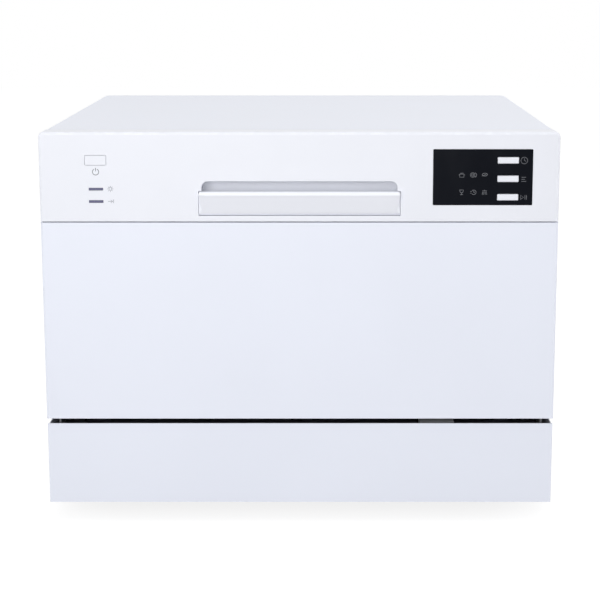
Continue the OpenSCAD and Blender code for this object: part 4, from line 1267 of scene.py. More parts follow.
@dataclass
class Assembly:
    """Pieces that belong together, with the tools that make them, dress them and fix them."""

    nodes: dict[str, Piece]
    trees: Trees
    home: ClassVar[Body] = Body.CABINET
    placed: ClassVar[int] = 0

    def build(self) -> None:
        """Makes and dresses the pieces."""
        raise NotImplementedError

    def place(self, piece: Piece, finish: Finish, *nodes: str, body: Body | None = None) -> None:
        """Dresses a piece, and fixes it to a body.

        Args:
            piece: The finished mesh.
            finish: Its finish.
            nodes: CAD nodes that it replaces.
            body: Its body, if not the home body.
        """
        rider = (body or self.home).value
        if not piece.data.materials:
            piece.data.materials.append(finish.material())
        for number in range(len(piece.data.materials)):
            piece.data.materials[number] = finish.material()
        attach(piece, rider)
        if nodes:
            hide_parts(*nodes)
        Assembly.placed += 1
        LOG.info("%-24s %-14s %-14s %6d faces", piece.name, rider, finish.name, len(piece.data.polygons))

    def soft(
        self, node: str, name: str, finish: Finish, fine: float = 0.3, broad: Sequence[Rounding] = (),
        segments: int = 2, body: Body | None = None
    ) -> None:
        """Replaces a CAD node by a copy with rounded edges.

        Args:
            node: The CAD node.
            name: Name of the piece.
            finish: Its finish.
            fine: Width of the rounding where no broad one applies.
            broad: Wider roundings, tried in order.
            segments: Faces across each rounding.
            body: Its body, if not the home body.
        """
        self.place(softened(self.nodes[node], name, fine, broad, segments), finish, node, body=body)

    def wires(
        self, name: str, paths: Sequence[Path], finish: Finish, radius: float, bend: float = 0.0,
        closed: bool = False, domes: bool = False, sides: int = 8, turn: Matrix | None = None
    ) -> Piece:
        """Bends a round rod along each path.

        Args:
            name: Name of the piece.
            paths: Points of each path.
            finish: Its finish.
            radius: Radius of the rod.
            bend: Radius of its bends.
            closed: Whether each path returns to its start.
            domes: Whether open ends are domed.
            sides: Faces round the rod.
            turn: A move for the finished mesh.

        Returns:
            The piece.
        """
        return self.trees.rod.run(
            traced(name, paths, closed), finish, turn, Radius=radius * MM, Bend=bend * MM, Steps=5,
            Sides=sides, Domes=domes
        )

    def tube(
        self, name: str, path: Path, finish: Finish, radius: float, bend: float, rib: float, pitch: float
    ) -> Piece:
        """Lays a ribbed hose along a path.

        Args:
            name: Name of the piece.
            path: Points of its centre line.
            finish: Its finish.
            radius: Radius over the ribs.
            bend: Radius of its bends.
            rib: Height of the ribs.
            pitch: Length from one rib to the next.

        Returns:
            The piece.
        """
        return self.trees.hose.run(
            traced(name, [path]), finish, Radius=radius * MM, Bend=bend * MM, Rib=rib * MM,
            Pitch=pitch * MM, Sides=20
        )

    def copies(
        self, name: str, template: Piece, points: Sequence[Point], finish: Finish,
        turn: Point = (0.0, 0.0, 0.0)
    ) -> Piece:
        """Puts a template, modelled at the origin, on every point.

        Args:
            name: Name of the piece.
            template: The object to repeat, which is used up.
            points: Where the copies go.
            finish: Their finish.
            turn: The most that a copy turns about each axis, in radians.

        Returns:
            The piece.
        """
        host = traced(name, [[p] for p in points])
        made = self.trees.repeat.run(host, finish, Template=template, Turn=turn)
        bpy.data.objects.remove(template)
        return made

    def perforate(
        self, solid: Piece, holes: Sequence[Hole], finish: Finish, radius: float, depth: float,
        sides: int = 10
    ) -> Piece:
        """Drills holes through a closed solid.

        Args:
            solid: The solid, which is changed.
            holes: Where and which way to drill.
            finish: Its finish.
            radius: Radius of the holes.
            depth: Length of the drill, half of it on each side of the hole's place.
            sides: Faces round each hole.

        Returns:
            The solid.
        """
        solid.modifiers.clear()
        points = traced("drill_points", [[h.place] for h in holes])
        aim = points.data.attributes.new("aim", "FLOAT_VECTOR", "POINT")
        for item, hole in zip(aim.data, holes):
            item.vector = hole.aim
        made = self.trees.drill.run(
            solid, finish, Holes=points, Radius=radius * MM, Depth=depth * MM, Sides=sides
        )
        bpy.data.objects.remove(points)
        return made

    def moulding(
        self, name: str, paths: Sequence[Path], profile: Sequence[Span], finish: Finish, bend: float = 0.0,
        closed: bool = False, turn: Matrix | None = None
    ) -> Piece:
        """Sweeps a closed profile along flat paths.

        Args:
            name: Name of the piece.
            paths: Paths drawn in X and Y.
            profile: The profile: +X to the right of the way, +Y down.
            finish: Its finish.
            bend: Radius of the corners.
            closed: Whether each path returns to its start.
            turn: A move for the finished mesh.

        Returns:
            The piece.
        """
        shape = traced("profile", [[(a, b, 0.0) for a, b in profile]], closed=True)
        made = self.trees.sweep.run(
            traced(name, paths, closed), finish, turn, Profile=shape, Bend=bend * MM, Steps=8
        )
        bpy.data.objects.remove(shape)
        recalculated(made.data)
        return made

    def screws(self, screw: CrossScrew, name: str, node: str, points: Sequence[Point]) -> None:
        """Puts a screw on every point, each turned by chance.

        Args:
            screw: The kind of screw.
            name: Name of the piece.
            node: The CAD node that it replaces.
            points: Where the heads sit.
        """
        piece = self.copies(name, screw.template(), points, PLATED, (0.0, ANY_TURN, 0.0))
        self.place(piece, PLATED, node)


# ---- casing


@dataclass
class Casing(Assembly):
    """The painted wrap with its back, base, feet and screws."""

    rear: float = 238.0
    front: float = -213.0
    kick_face: float = -239.0
    kick_z: Span = (22.0, 111.5)
    screw_x: float = 268.0
    foot_x: float = 215.0
    foot_y: Span = (-157.0, 188.0)
    slot_x: float = 68.75
    slot_pitch: float = 12.0
    slots: int = 8
    slot_z: Span = (92.0, 122.0)
    gland: Point = (200.0, 62.0)

    def build(self) -> None:
        """Makes and dresses the casing."""
        self.soft("cabinet_wrap", "casing_wrap", ENAMEL, 0.35)
        pressed = [Rounding(1.6, lambda p: p.y > self.rear + 0.1)]
        self.soft("back_panel", "back_plate", ZINC, 0.25, pressed, 3)
        self.kick_plate()
        self.soft("base_tray", "base_moulding", DARK_PLASTIC, 0.5)
        self.soft("cable_guide", "cable_channel", PALE_PLASTIC, 0.5)
        self.feet()
        self.louvres()
        self.cable_gland()
        points = [(s * self.screw_x, self.rear, z) for s in (-1, 1) for z in (84.05, 226.5, 368.95)]
        points += [(x, self.rear, 423.0) for x in (-181.5, -60.5, 60.5, 181.5)]
        self.screws(CrossScrew(4.0, 2.2), "casing_screws", "cabinet_screws", points)

    def kick_plate(self) -> None:
        """The folded sheet below the door, whose front reaches higher than its sides."""
        face, end, half, sheet = self.kick_face, self.front - 0.3, HALF_WIDTH, 1.0
        low, high = self.kick_z
        fold, across = 1.8, half - 0.6
        middle = (half - fold, face + fold)
        outer = [(half, end), *arc(middle, fold, 0, -90, 8)]
        inner = [*arc(middle, fold - sheet, -90, 0, 6), (half - sheet, end)]
        outline = [(-x, y) for x, y in outer] + outer[::-1] + inner[::-1] + [(-x, y) for x, y in inner]
        front = Solid().prism(Axis.Z, outline, self.kick_z, 0.25).close("kick_sheet")
        beyond = ((-half - 15, half + 15), (face + sheet, end + 9), (high - 2.8, high + 6.5))
        notch = Solid().block(*beyond).close("notch")
        floor = Solid().block((-across, across), (face + 0.6, end - 0.1), (low + 0.1, low + sheet), 0.1)
        piece = joined("kick_plate_cover", [carved(front, notch), floor.close("kick_floor")])
        self.place(piece, ENAMEL, "kick_plate")

    def feet(self) -> None:
        """Rubber feet with a grooved sole and a collar."""
        profile = [
            (0, 0.6), (5, 0.6), (5.4, 0), (8, 0), (8.4, 0.6), (10.6, 0.6), (11, 0), (14.6, 0), (16.2, 0.7),
            (17, 2.2), (17, 6), (16.3, 6.6), (16.3, 7.4), (17, 8), (17, 11.6), (16.4, 12.6), (12.6, 15),
            (12, 16), (12, 22.8), (11.6, 23), (0, 23)
        ]
        foot = Solid().turned(Axis.Z, (0, 0), profile, 40).close("foot", FIRM)
        points = [(s * self.foot_x, y, 0) for s in (-1, 1) for y in self.foot_y]
        piece = self.copies("rubber_feet", foot, points, BLACK_RUBBER, (0.0, 0.0, ANY_TURN))
        self.place(piece, BLACK_RUBBER, "feet")

    def louvres(self) -> None:
        """Pressed hoods over the air slots."""
        low, high = self.slot_z
        back = [(-1.0, 0.0), (0.1, 1.1), (1.4, 1.75), (3.6, 1.9)]
        sheet = back + [(3.6, 1.45), (1.6, 1.3), (0.5, 0.7), (-0.1, 0.0)]
        hood = Solid().prism(Axis.Z, sheet, (low - 1, high + 1), 0.12, 1)
        for z in (low - 1.2, high + 0.6):
            hood.prism(Axis.Z, back + [(3.6, 0.0)], (z, z + 0.6))
        points = [(self.slot_x + i * self.slot_pitch, self.rear, 0.0) for i in range(self.slots)]
        piece = self.copies("back_louvres", hood.close("louvre", CRISP), points, ZINC)
        self.place(piece, ZINC)

    def cable_gland(self) -> None:
        """The entry gland with its clamping fingers and nut."""
        profile = [
            (3.85, 224.2), (8.6, 224.2), (8.7, 225), (8.7, 228), (11, 228), (11, 236.6), (8.7, 236.6),
            (8.7, 238.3), (11.6, 238.3), (12, 238.7), (12, 240), (11.4, 240.4), (9, 240.6), (8.6, 241),
            (7.6, 241.9), (5.4, 242), (4.6, 241.4), (3.85, 240.2)
        ]
        grip = ribbed(12, 0.035, 8.65, 0.3)
        body = Solid().turned(Axis.Y, self.gland, profile, 72, True, grip).close("cord_entry", CRISP)
        self.place(body, DARK_PLASTIC, "cord_gland")


# ---- tub


@dataclass
class Tub(Assembly):
    """The stainless tub with its beads, rails, gasket and hinge irons."""

    half: float = 247.0
    floor: float = 140.0
    ceiling: float = 408.0
    back: float = 206.0
    corner: float = 18.0
    bead: float = 1.3
    bead_levels: Sequence[float] = (238.0, 290.0, 342.0)
    ceiling_beads: Sequence[float] = (-150.0, -50.0, 50.0, 150.0)
    gasket_front: float = -210.0

    def build(self) -> None:
        """Makes and dresses the tub."""
        self.soft("tub_frame", "tub_rim", TUB_STEEL, 0.25)
        self.soft("tub_wrap", "tub_walls", TUB_STEEL, 0.2)
        self.soft("tub_back", "tub_rear_wall", TUB_STEEL, 0.2)
        self.soft("tub_floor", "tub_base", TUB_STEEL, 0.4)
        self.soft("rack_rails", "rails", TUB_STEEL, 0.7)
        self.soft("striker", "latch_striker", PLATED, 0.4)
        self.soft("hinge_brackets", "hinge_plates", ZINC, 0.4)
        self.soft("hinge_pins", "hinge_studs", PLATED, 0.5)
        self.beads()
        self.gasket()

    def beads(self) -> None:
        """Pressed beads that stiffen the walls, the ceiling and the rear wall."""
        d = self.bead
        sides = Solid()
        for z in self.bead_levels:
            sides.block((self.half - d, self.half + 0.5), (-178, 178), (z - 4, z + 4), d * 0.85, 3)
        self.place(sides.mirrored().close("wall_beads", GENTLE), TUB_STEEL)
        roof = Solid()
        for x in self.ceiling_beads:
            roof.block((x - 5, x + 5), (-170, 170), (self.ceiling - d, self.ceiling + 0.5), d * 0.85, 3)
        self.place(roof.close("ceiling_beads", GENTLE), TUB_STEEL)
        path = [(-180, 190, 0), (-180, 370, 0), (180, 370, 0), (180, 190, 0)]
        ridge = [(-5, 0.3), (-5, 0), (-3.4, -0.5), (-2, -d), (2, -d), (3.4, -0.5), (5, 0), (5, 0.3)]
        frame = self.moulding("rear_wall_bead", [path], ridge, TUB_STEEL, 26, True, standing(self.back))
        self.place(frame, TUB_STEEL)

    def gasket(self) -> None:
        """The door seal: a channel on the tub wall, a soft bulb and a strip along the sill."""
        profile = [
            (-4, 0.2), (-4, 9.8), (-2.2, 9.8), (-2.0, 8.4), (2.0, 8.4), (2.2, 9.8), (4, 9.8), (4, 0.8),
            (3.4, 0.1), (2.3, -0.3), (2.5, -1.6), (2.2, -2.7), (1.3, -3.6), (0.2, -3.85), (-1.1, -3.6),
            (-2.1, -2.8), (-2.5, -1.6), (-2.3, 0)
        ]
        x, top = self.half - 4, self.ceiling - 4
        path = [(-x, self.floor + 14, 0), (-x, top, 0), (x, top, 0), (x, self.floor + 14, 0)]
        ring = self.moulding(
            "ring", [path], profile, GREY_RUBBER, self.corner - 4, False, standing(self.gasket_front)
        )
        sill = Solid()
        for z in (135.1, 136.7, 138.3):
            sill.block((-237, 237), (-213.85, -213.0), (z, z + 1.1), 0.35, 3)
        sill.block((-237, 237), (-213.35, -213.0), (135, 139.5))
        self.place(joined("door_seal", [ring, sill.close("sill")]), GREY_RUBBER, "door_gasket")


# ---- wash system


@dataclass
class WashSystem(Assembly):
    """Sump, filters, pumps, pipes and the spray arm."""

    floor: float = 140.0
    pump_y: float = -100.0
    pump_z: float = 96.0
    filter_at: Span = (62.0, -100.0)
    filter_radius: float = 34.0
    blade: float = 198.0
    arm_low: float = 151.8
    arm_high: float = 159.3
    float_at: Span = (-185.0, -150.0)
    stack: Span = (-92.0, -34.0)

    def build(self) -> None:
        """Makes and dresses the wash system."""
        self.soft("sump", "sump_bowl", DARK_PLASTIC, 0.7)
        self.soft("pump_volute", "pump_housing", DARK_PLASTIC, 1.0)
        self.soft("pump_impeller", "impeller_wheel", PALE_PLASTIC, body=Body.IMPELLER)
        self.soft("drain_pump", "drain_pump_body", DARK_PLASTIC, 1.2)
        self.motor()
        self.pipe()
        self.filters()
        self.post()
        self.arm()
        self.float_switch()

    def motor(self) -> None:
        """Motor with end caps, a stack of plates, copper windings and a terminal block."""
        at = (self.pump_y, self.pump_z)
        low, high = self.stack
        profile = [
            (0, -108), (11, -108), (12, -107), (12, -104.5), (25, -103.5), (31, -100), (33.4, -95),
            (33.4, low)
        ]
        for place in spread(low, high - 3, 16):
            profile += [(34, place + 0.4), (34, place + 2.8), (33.2, place + 3.1), (33.2, place + 3.5)]
        profile += [(33.4, high), (33.4, -24), (31, -17), (28, -12.6), (4.2, -12.4), (4.2, -102), (0, -102)]
        shell = Solid().turned(Axis.X, at, profile, 64).close("motor_shell", CRISP)
        self.place(shell, PUMP_METAL, "pump_motor")
        loops = [
            [(x, at[0] + a, at[1] + b) for a, b in arc((0, 0), 34.6 + lift, 205, 335, 24)]
            for x, lift in ((-88, 0), (-84, 0.6), (-80, 0.8), (-46, 0.8), (-42, 0.6), (-38, 0))
        ]
        self.place(self.wires("motor_winding", loops, COPPER, 1.5, domes=True), COPPER)
        block = Solid().block((-92, -52), (-114, -86), (124, 136), 1.2, 3)
        for x in spread(-86, -58, 4):
            block.block((x - 3.6, x + 3.6), (-114.4, -109), (127, 133), 0.5, 2)
        self.place(block.close("motor_terminals"), DARK_PLASTIC)

    def pipe(self) -> None:
        """The delivery pipe with its heater and clamps."""
        path = [(0, -58, 116), (0, 0, 116), (0, 0, 132)]
        pipe = self.wires("delivery_tube", [path], DARK_PLASTIC, 9.5, 11, sides=28)
        self.place(pipe, DARK_PLASTIC, "delivery_pipe")
        profile = [(9.9, -54), (12, -54), (12, -51), (15.6, -51), (16, -50.6)]
        for y in spread(-48, -24, 9):
            profile += [(16, y), (15.2, y + 0.5), (15.2, y + 1.1), (16, y + 1.6)]
        profile += [(16, -19.4), (15.6, -19), (12, -19), (12, -16), (9.9, -16)]
        heater = Solid().turned(Axis.Y, (0, 116), profile, 48, True).close("heater_jacket", CRISP)
        self.place(heater, PUMP_METAL, "flow_heater")

    def filters(self) -> None:
        """The fine filter plate, and the coarse filter with its perforated sleeve."""
        x, y = self.filter_at
        far = self.filter_radius + 4.2
        grid = [(x + a * 4.6 + b % 2 * 2.3, y + b * 4.0) for a in range(-11, 15) for b in range(-14, 14)]
        holes = [
            Hole((a, b, self.floor + 0.5), (0, 0, 1))
            for a, b in grid
            if hypot(a - x, b - y) > far and 17 < a < 125 and -155 < b < -49
        ]
        plate = softened(self.nodes["filter_plate"], "fine_filter", 0.25)
        plate = self.perforate(plate, holes, TUB_STEEL, 1.25, 6, 8)
        self.place(plate, TUB_STEEL, "filter_plate")
        self.soft("coarse_filter", "filter_basket", GREY_PLASTIC, 0.6, body=Body.FILTER)
        ring = [(32.3, 106), (33.1, 106), (33.1, 134), (32.3, 134)]
        rows, around, middle = 9, 72, 32.7
        sleeve = Solid().turned(Axis.Z, (x, y), ring, 96, True).close("filter_sleeve")
        holes = []
        for row, i in ((row, i) for row in range(rows) for i in range(around)):
            angle = 2 * pi * (i + 0.5 * (row % 2)) / around
            way = (cos(angle), sin(angle), 0)
            holes.append(Hole((x + middle * way[0], y + middle * way[1], 108.4 + row * 2.8), way))
        sleeve = self.perforate(sleeve, holes, TUB_STEEL, 0.85, 3, 6)
        self.place(sleeve, TUB_STEEL, body=Body.FILTER)

    def post(self) -> None:
        """The post that carries the arm."""
        profile = [
            (6, 132), (9.6, 132), (9.7, 132.4), (9.7, 140), (23.4, 140), (24, 140.5), (24, 142),
            (23.2, 143), (15.5, 143), (14, 144.2), (14, 150.6), (13.4, 151.4), (9, 151.5), (9, 158),
            (8.5, 158.5), (6.5, 158.5), (6, 158)
        ]
        post = Solid().turned(Axis.Z, (0, 0), profile, 48, True)
        fin, ribs, half = ((13, 142.8), (22, 142.8), (14, 148.5), (13, 148.5)), 6, 0.9
        for i in range(ribs):
            turn = Matrix.Rotation(radians(60 * i + 30), 3, "Z")
            post.loft([[turn @ Vector((r, s, z)) for r, z in fin] for s in (-half, half)])
        self.place(post.close("arm_post", CRISP), GREY_PLASTIC, "spray_post")

    def arm(self) -> None:
        """The spray arm: two pressed shells with a seam flange, a hub and nozzles."""
        low, high = self.arm_low, self.arm_high
        stations = [
            (14, 18.5, 20.5), (30, 17.4, 19.4), (50, 15.6, 18), (79, 13, 16), (120, 11.4, 13.4),
            (160, 10, 10.8)
        ]
        stations += [(self.blade - 9 + 9 * sin(a), 9 * cos(a), 9 * cos(a)) for a in spread(0, 1.45, 7)]
        blades = Solid()
        for s in (-1, 1):
            blades.loft([[(s * x, s * py, pz) for py, pz in self._section(a, b)] for x, a, b in stations])
        arm = blades.close("blades", CRISP)
        ring = [
            (9.12, low), (23.4, low), (24, low + 0.6), (24, low + 2.8), (25, low + 3.0), (25, low + 3.8),
            (24, low + 4), (23.2, high), (22, high + 0.9), (20.5, high + 1.5), (13, high + 1.5),
            (12.4, high + 1.1), (9.12, high + 1.1)
        ]
        hub = Solid().turned(Axis.Z, (0, 0), ring, 56, True).close("hub", CRISP)
        cap = [(0, high - 0.4), (9.4, high - 0.4), (9.4, high + 1.0), (8.6, high + 1.5), (0, high + 1.5)]
        crown = Solid().turned(Axis.Z, (0, 0), cap, 48).close("crown", CRISP)
        jets = [(s * (59.4 + 29.7 * i), s * (-3 if i % 2 else 3), 0) for s in (-1, 1) for i in range(5)]
        holes = [Hole((x, y, high), (0.0, 0.25, 1.0)) for x, y, _ in jets]
        arm = self.perforate(arm, holes, ARM_STEEL, 1.5, 5, 12)
        collar = [
            (1.5, high - 0.8), (3.6, high - 0.8), (3.0, high + 0.4), (2.4, high + 0.9), (1.8, high + 0.9),
            (1.5, high + 0.5)
        ]
        nozzle = Solid().turned(Axis.Z, (0, 0), collar, 16, True).close("nozzle", CRISP)
        nozzles = self.copies("nozzles", nozzle, jets, ARM_STEEL)
        piece = joined("spray_blades", [arm, hub, crown, nozzles])
        self.place(piece, ARM_STEEL, "spray_arm", body=Body.SPRAY_ARM)

    def _section(self, a: float, b: float) -> list[Span]:
        """A blade's section: flat belly, seam flange and crowned back.

        Args:
            a: How far it reaches to the left of the middle.
            b: How far it reaches to the right.

        Returns:
            Its outline.
        """
        low, high = self.arm_low, self.arm_high
        k = min(1.0, (a + b) / 12)
        inset = [(3, low), (1.1, low + 1), (1.1, low + 2.9), (0, low + 3.1), (0, low + 3.8)]
        inset += [(1.1, low + 4), (1.6, low + 5.6), (4.2, high - 0.35)]
        right, left = [(b - i * k, z) for i, z in inset], [(-a + i * k, z) for i, z in inset]
        return right + [((b - a) / 2, high)] + left[::-1]

    def float_switch(self) -> None:
        """The float that feels the water's level."""
        profile = [
            (0, 124), (2.9, 124), (3.5, 124.6), (3.5, 140.3), (9, 140.3), (9, 142.9), (12.4, 143),
            (13, 143.7), (13, 150.8), (12.4, 152.2), (11, 153), (6, 153), (5.4, 152.3), (0, 152.3)
        ]
        ribs = ribbed(16, 0.025, 12.9, 0.2)
        cup = Solid().turned(Axis.Z, self.float_at, profile, 96, False, ribs).close("level_float", CRISP)
        self.place(cup, PALE_PLASTIC, "float_cup", body=Body.FLOAT)


@dataclass
class WaterWays(Assembly):
    """Inlet valve, hoses, air brake, control box and the drain spigot."""

    inlet: Span = (-190.0, 62.0)
    drain: Span = (97.0, 62.0)

    def build(self) -> None:
        """Makes and dresses the water ways."""
        self.soft("air_brake", "air_brake_tank", PALE_PLASTIC, 1.2)
        self.soft("control_box", "control_housing", PALE_PLASTIC, 1.5)
        self.valve()
        path = [
            (-190, 207.7, 82), (-190, 207.7, 104), (-190, 158, 104), (-257.5, 158, 104), (-257.5, 158, 184)
        ]
        hose = self.tube("inlet_tube", path, GREY_PLASTIC, 6.5, 14, 0.5, 3.0)
        self.place(hose, GREY_PLASTIC, "inlet_hose")
        self.drain_line()

    def valve(self) -> None:
        """The inlet valve with its thread, strainer and coil."""
        x, z = self.inlet
        body = Solid().block((x - 16, x + 16), (199, 229.7), (26, 76), 2.0, 3)
        body.turned(Axis.Z, (x, 207.7), [(0, 75), (8.6, 75), (8.6, 80), (7.6, 82), (0, 82)], 28)
        neck = [
            (9.7, 228), (12.2, 228), (12.2, 232.8), (16.2, 233), (16.2, 236.7), (12.2, 236.9),
            (12.2, 248.6), (11.4, 250), (10.2, 250), (9.7, 249.5)
        ]
        body.turned(Axis.Y, self.inlet, neck, 64, True)
        turns, steps, pitch, radius = 6, 28, 1.8, 12.6
        angles = [2 * pi * i / steps for i in range(turns * steps - 6)]
        helix = [
            (x + radius * cos(a), 238.9 + pitch * i / steps, z + radius * sin(a))
            for i, a in enumerate(angles)
        ]
        thread = self.wires("thread", [helix], PALE_PLASTIC, 0.6, sides=6, domes=True)
        made = joined("inlet_port", [body.close("body", CRISP), thread])
        self.place(made, PALE_PLASTIC, "inlet_valve")
        disc = Solid().turned(Axis.Y, self.inlet, [(0, 231), (9.8, 231), (9.8, 231.8), (0, 231.8)], 40)
        holes = [
            Hole((x + a * 2.1 + (b % 2) * 1.05, 231.4, z + b * 1.85), (0, 1, 0))
            for a in range(-4, 5)
            for b in range(-4, 5)
            if hypot(a * 2.1, b * 1.85) < 8.6
        ]
        strainer = self.perforate(disc.close("inlet_strainer"), holes, GREY_PLASTIC, 0.72, 3, 6)
        self.place(strainer, GREY_PLASTIC)
        coil = [(0, 188), (13, 188), (13.6, 188.6), (13.6, 190), (12, 190.4)]
        for y in spread(190.6, 196.2, 8):
            coil += [(12.3, y), (12.6, y + 0.35), (12.3, y + 0.7)]
        coil += [(13.6, 197.4), (13.6, 199), (0, 199.2)]
        self.place(Solid().turned(Axis.Y, (x, 50), coil, 40).close("valve_coil", CRISP), COPPER)

    def drain_line(self) -> None:
        """The drain hose and the barbed spigot that it ends in."""
        x, z = self.drain
        path = [(84, -38.7, 96), (x, -38.7, 96), (x, 195.7, 96), (x, 195.7, z), (x, 226, z)]
        hose = self.tube("hose", path, GREY_PLASTIC, 8.5, 12, 0.9, 3.6)
        barbs = [
            (6.5, 224), (9.2, 224), (9.2, 232), (12.1, 232), (12.5, 232.4), (12.5, 236.1), (12.1, 236.5),
            (9.2, 236.5), (9.2, 238.2), (9.5, 238.5)
        ]
        for y in (240.6, 243.0, 245.4):
            barbs += [(9.5, y), (8.7, y + 0.4)]
        barbs += [(9.3, 246.4), (8.4, 248), (7, 248), (6.5, 247.5)]
        spigot = Solid().turned(Axis.Y, self.drain, barbs, 48, True).close("spigot", CRISP)
        self.place(joined("drain_tube", [hose, spigot]), GREY_PLASTIC, "drain_hose")


# ---- door


@dataclass
class Door(Assembly):
    """The door: skin, fascia, liner, dispenser, hinges and latch."""

    home: ClassVar[Body] = Body.DOOR
    face: float = -243.0
    sheet: float = 1.0
    plug: float = -205.0
    slot_half: float = 103.5
    board: float = -230.4
    dispenser_x: float = 80.0
    dispenser_z: Span = (219.5, 329.5)
    cap: Span = (-42.0, 274.5)
    screw_x: float = 267.0
    screw_z: Sequence[float] = (178.5, 257.0, 321.5, 343.5, 418.0)

    def on_face(self, p: Vector) -> bool:
        """Whether a point lies on the door's face."""
        return p.y < self.face + 0.05

    def folds(self) -> list[Rounding]:
        """The folds of the front sheet at its two sides, outside and inside."""
        half, face, sheet = HALF_WIDTH, self.face, self.sheet
        return [
            Rounding(3.2, lambda p: abs(p.x) > half - 0.1 and p.y < face + 0.1),
            Rounding(2.2, lambda p: abs(abs(p.x) - half + sheet) < 0.1 and abs(p.y - face - sheet) < 0.1),
        ]

    def build(self) -> None:
        """Makes and dresses the door."""
        self.soft("door_skin", "door_panel", ENAMEL, 0.3, self.folds(), 5)
        self.fascia()
        self.liner()
        self.latch()
        self.soft("control_window", "control_glass", BLACK_GLOSS, 0.25)
        self.soft("lamp_lenses", "lamp_covers", SMOKED_LENS, 0.2)
        self.soft("hinge_arms", "hinge_levers", ZINC, 0.3)
        points = [(s * self.screw_x, -214.2, z) for s in (-1, 1) for z in self.screw_z]
        self.screws(CrossScrew(3.5, 0.9, 1.6, 8.0), "liner_screws", "door_screws", points)
        self.boards()
        self.springs()

    def fascia(self) -> None:
        """The fascia with its rounded crown and the edges of its openings."""

        def crown(p: Vector) -> bool:
            """Whether a point lies on the top or side edges."""
            return self.on_face(p) and (p.z > 423.9 or abs(p.x) > HALF_WIDTH - 1)

        def slot(p: Vector) -> bool:
            """Whether a point lies on the upper lip of the handle's opening."""
            return self.on_face(p) and abs(p.x) < self.slot_half + 1 and 368 < p.z < 378

        def cuts(p: Vector) -> bool:
            """Whether a point lies on one of the other openings."""
            return self.on_face(p) and abs(p.x) < HALF_WIDTH - 5 and 335.5 < p.z < 425

        widths = zip((3.2, 1.1, 0.18, 0.6), (crown, slot, cuts, self.on_face))
        self.soft("fascia", "fascia_panel", SATIN_WHITE, 0.35, [Rounding(w, c) for w, c in widths], 5)

    def liner(self) -> None:
        """The pressed liner with its beads, and the dispenser in it."""
        low, high = self.dispenser_z

        def pressed(p: Vector) -> bool:
            """Whether a point lies on the plug's folds, clear of the dispenser."""
            clear = abs(p.x) > self.dispenser_x + 2 or not low - 2 < p.z < high + 2
            return clear and p.y > self.plug - 1.0

        self.soft("door_liner", "liner_panel", LINER_STEEL, 0.25, [Rounding(4.5, pressed)], 5)
        ridge = [(-4, -0.3), (-4, 0), (-2.6, 0.45), (-1.5, 1.2), (1.5, 1.2), (2.6, 0.45), (4, 0), (4, -0.3)]
        path = [(-212, 166, 0), (-212, 380, 0), (212, 380, 0), (212, 166, 0)]
        frame = self.moulding("liner_bead", [path], ridge, LINER_STEEL, 22, True, standing(self.plug))
        self.place(frame, LINER_STEEL)
        guides = [Rounding(0.5, lambda p: p.y > self.plug + 4)]
        self.soft("dispenser_body", "dispenser", GREY_PLASTIC, 0.9, guides, 3)
        self.soft("detergent_lid", "dispenser_lid", GREY_PLASTIC, 0.6, (), 3, Body.DETERGENT_LID)
        self.rinse_cap()

    def rinse_cap(self) -> None:
        """The rinse-aid cap with a ribbed rim and a rounded grip."""
        profile = [
            (0, -204), (15, -204), (15, -214.8), (17.6, -214.8), (18, -214.3), (18, -200.6),
            (17.4, -200.05), (16.6, -200.0), (15.6, -200.5), (0, -200.5)
        ]
        cap = Solid().turned(Axis.Y, self.cap, profile, 144, False, ribbed(36, 0.018, 17.9, 0))
        x, z = self.cap
        cap.block((x - 13, x + 13), (-201, -195), (z - 2.5, z + 2.5), 1.3, 4)
        self.place(cap.close("rinse_aid_cap", CRISP), GREY_PLASTIC, "rinse_cap", body=Body.RINSE_CAP)

    def latch(self) -> None:
        """The latch with its case and link."""
        self.soft("latch_case", "latch_housing", DARK_PLASTIC, 0.6, (), 3)
        self.soft("latch_hook", "latch_lever", DARK_PLASTIC, 0.5, (), 3, Body.LATCH)
        self.soft("latch_link", "latch_rod", PALE_PLASTIC, 0.4, body=Body.LATCH_LINK)

    def boards(self) -> None:
        """The circuit boards with the parts that stand on them."""
        self.soft("display_boards", "circuit_boards", BOARD_GREEN, 0.15)
        chips = Solid()
        for x, z, w, h, t in ((156, 372, 10, 10, 1.6), (182, 361, 7, 5, 1.4), (-232, 372, 6, 6, 1.4)):
            low, high = (x - w / 2, x + w / 2), (z - h / 2, z + h / 2)
            chips.block(low, (self.board, self.board + t), high, 0.25)
        self.place(chips.close("board_chips"), DARK_PLASTIC)
        can = Solid().turned(
            Axis.Y, (0, 0), [(0, 0), (2.3, 0), (2.5, 0.4), (2.5, 6.2), (2.1, 6.8), (0, 6.8)], 16
        )
        places = ((210, 360), (217, 360), (224, 360), (235, 404), (-200, 362))
        points, turn = [(x, self.board, z) for x, z in places], (0.0, ANY_TURN, 0.0)
        cans = self.copies("board_capacitors", can.close("can", CRISP), points, PLATED, turn)
        self.place(cans, PLATED)

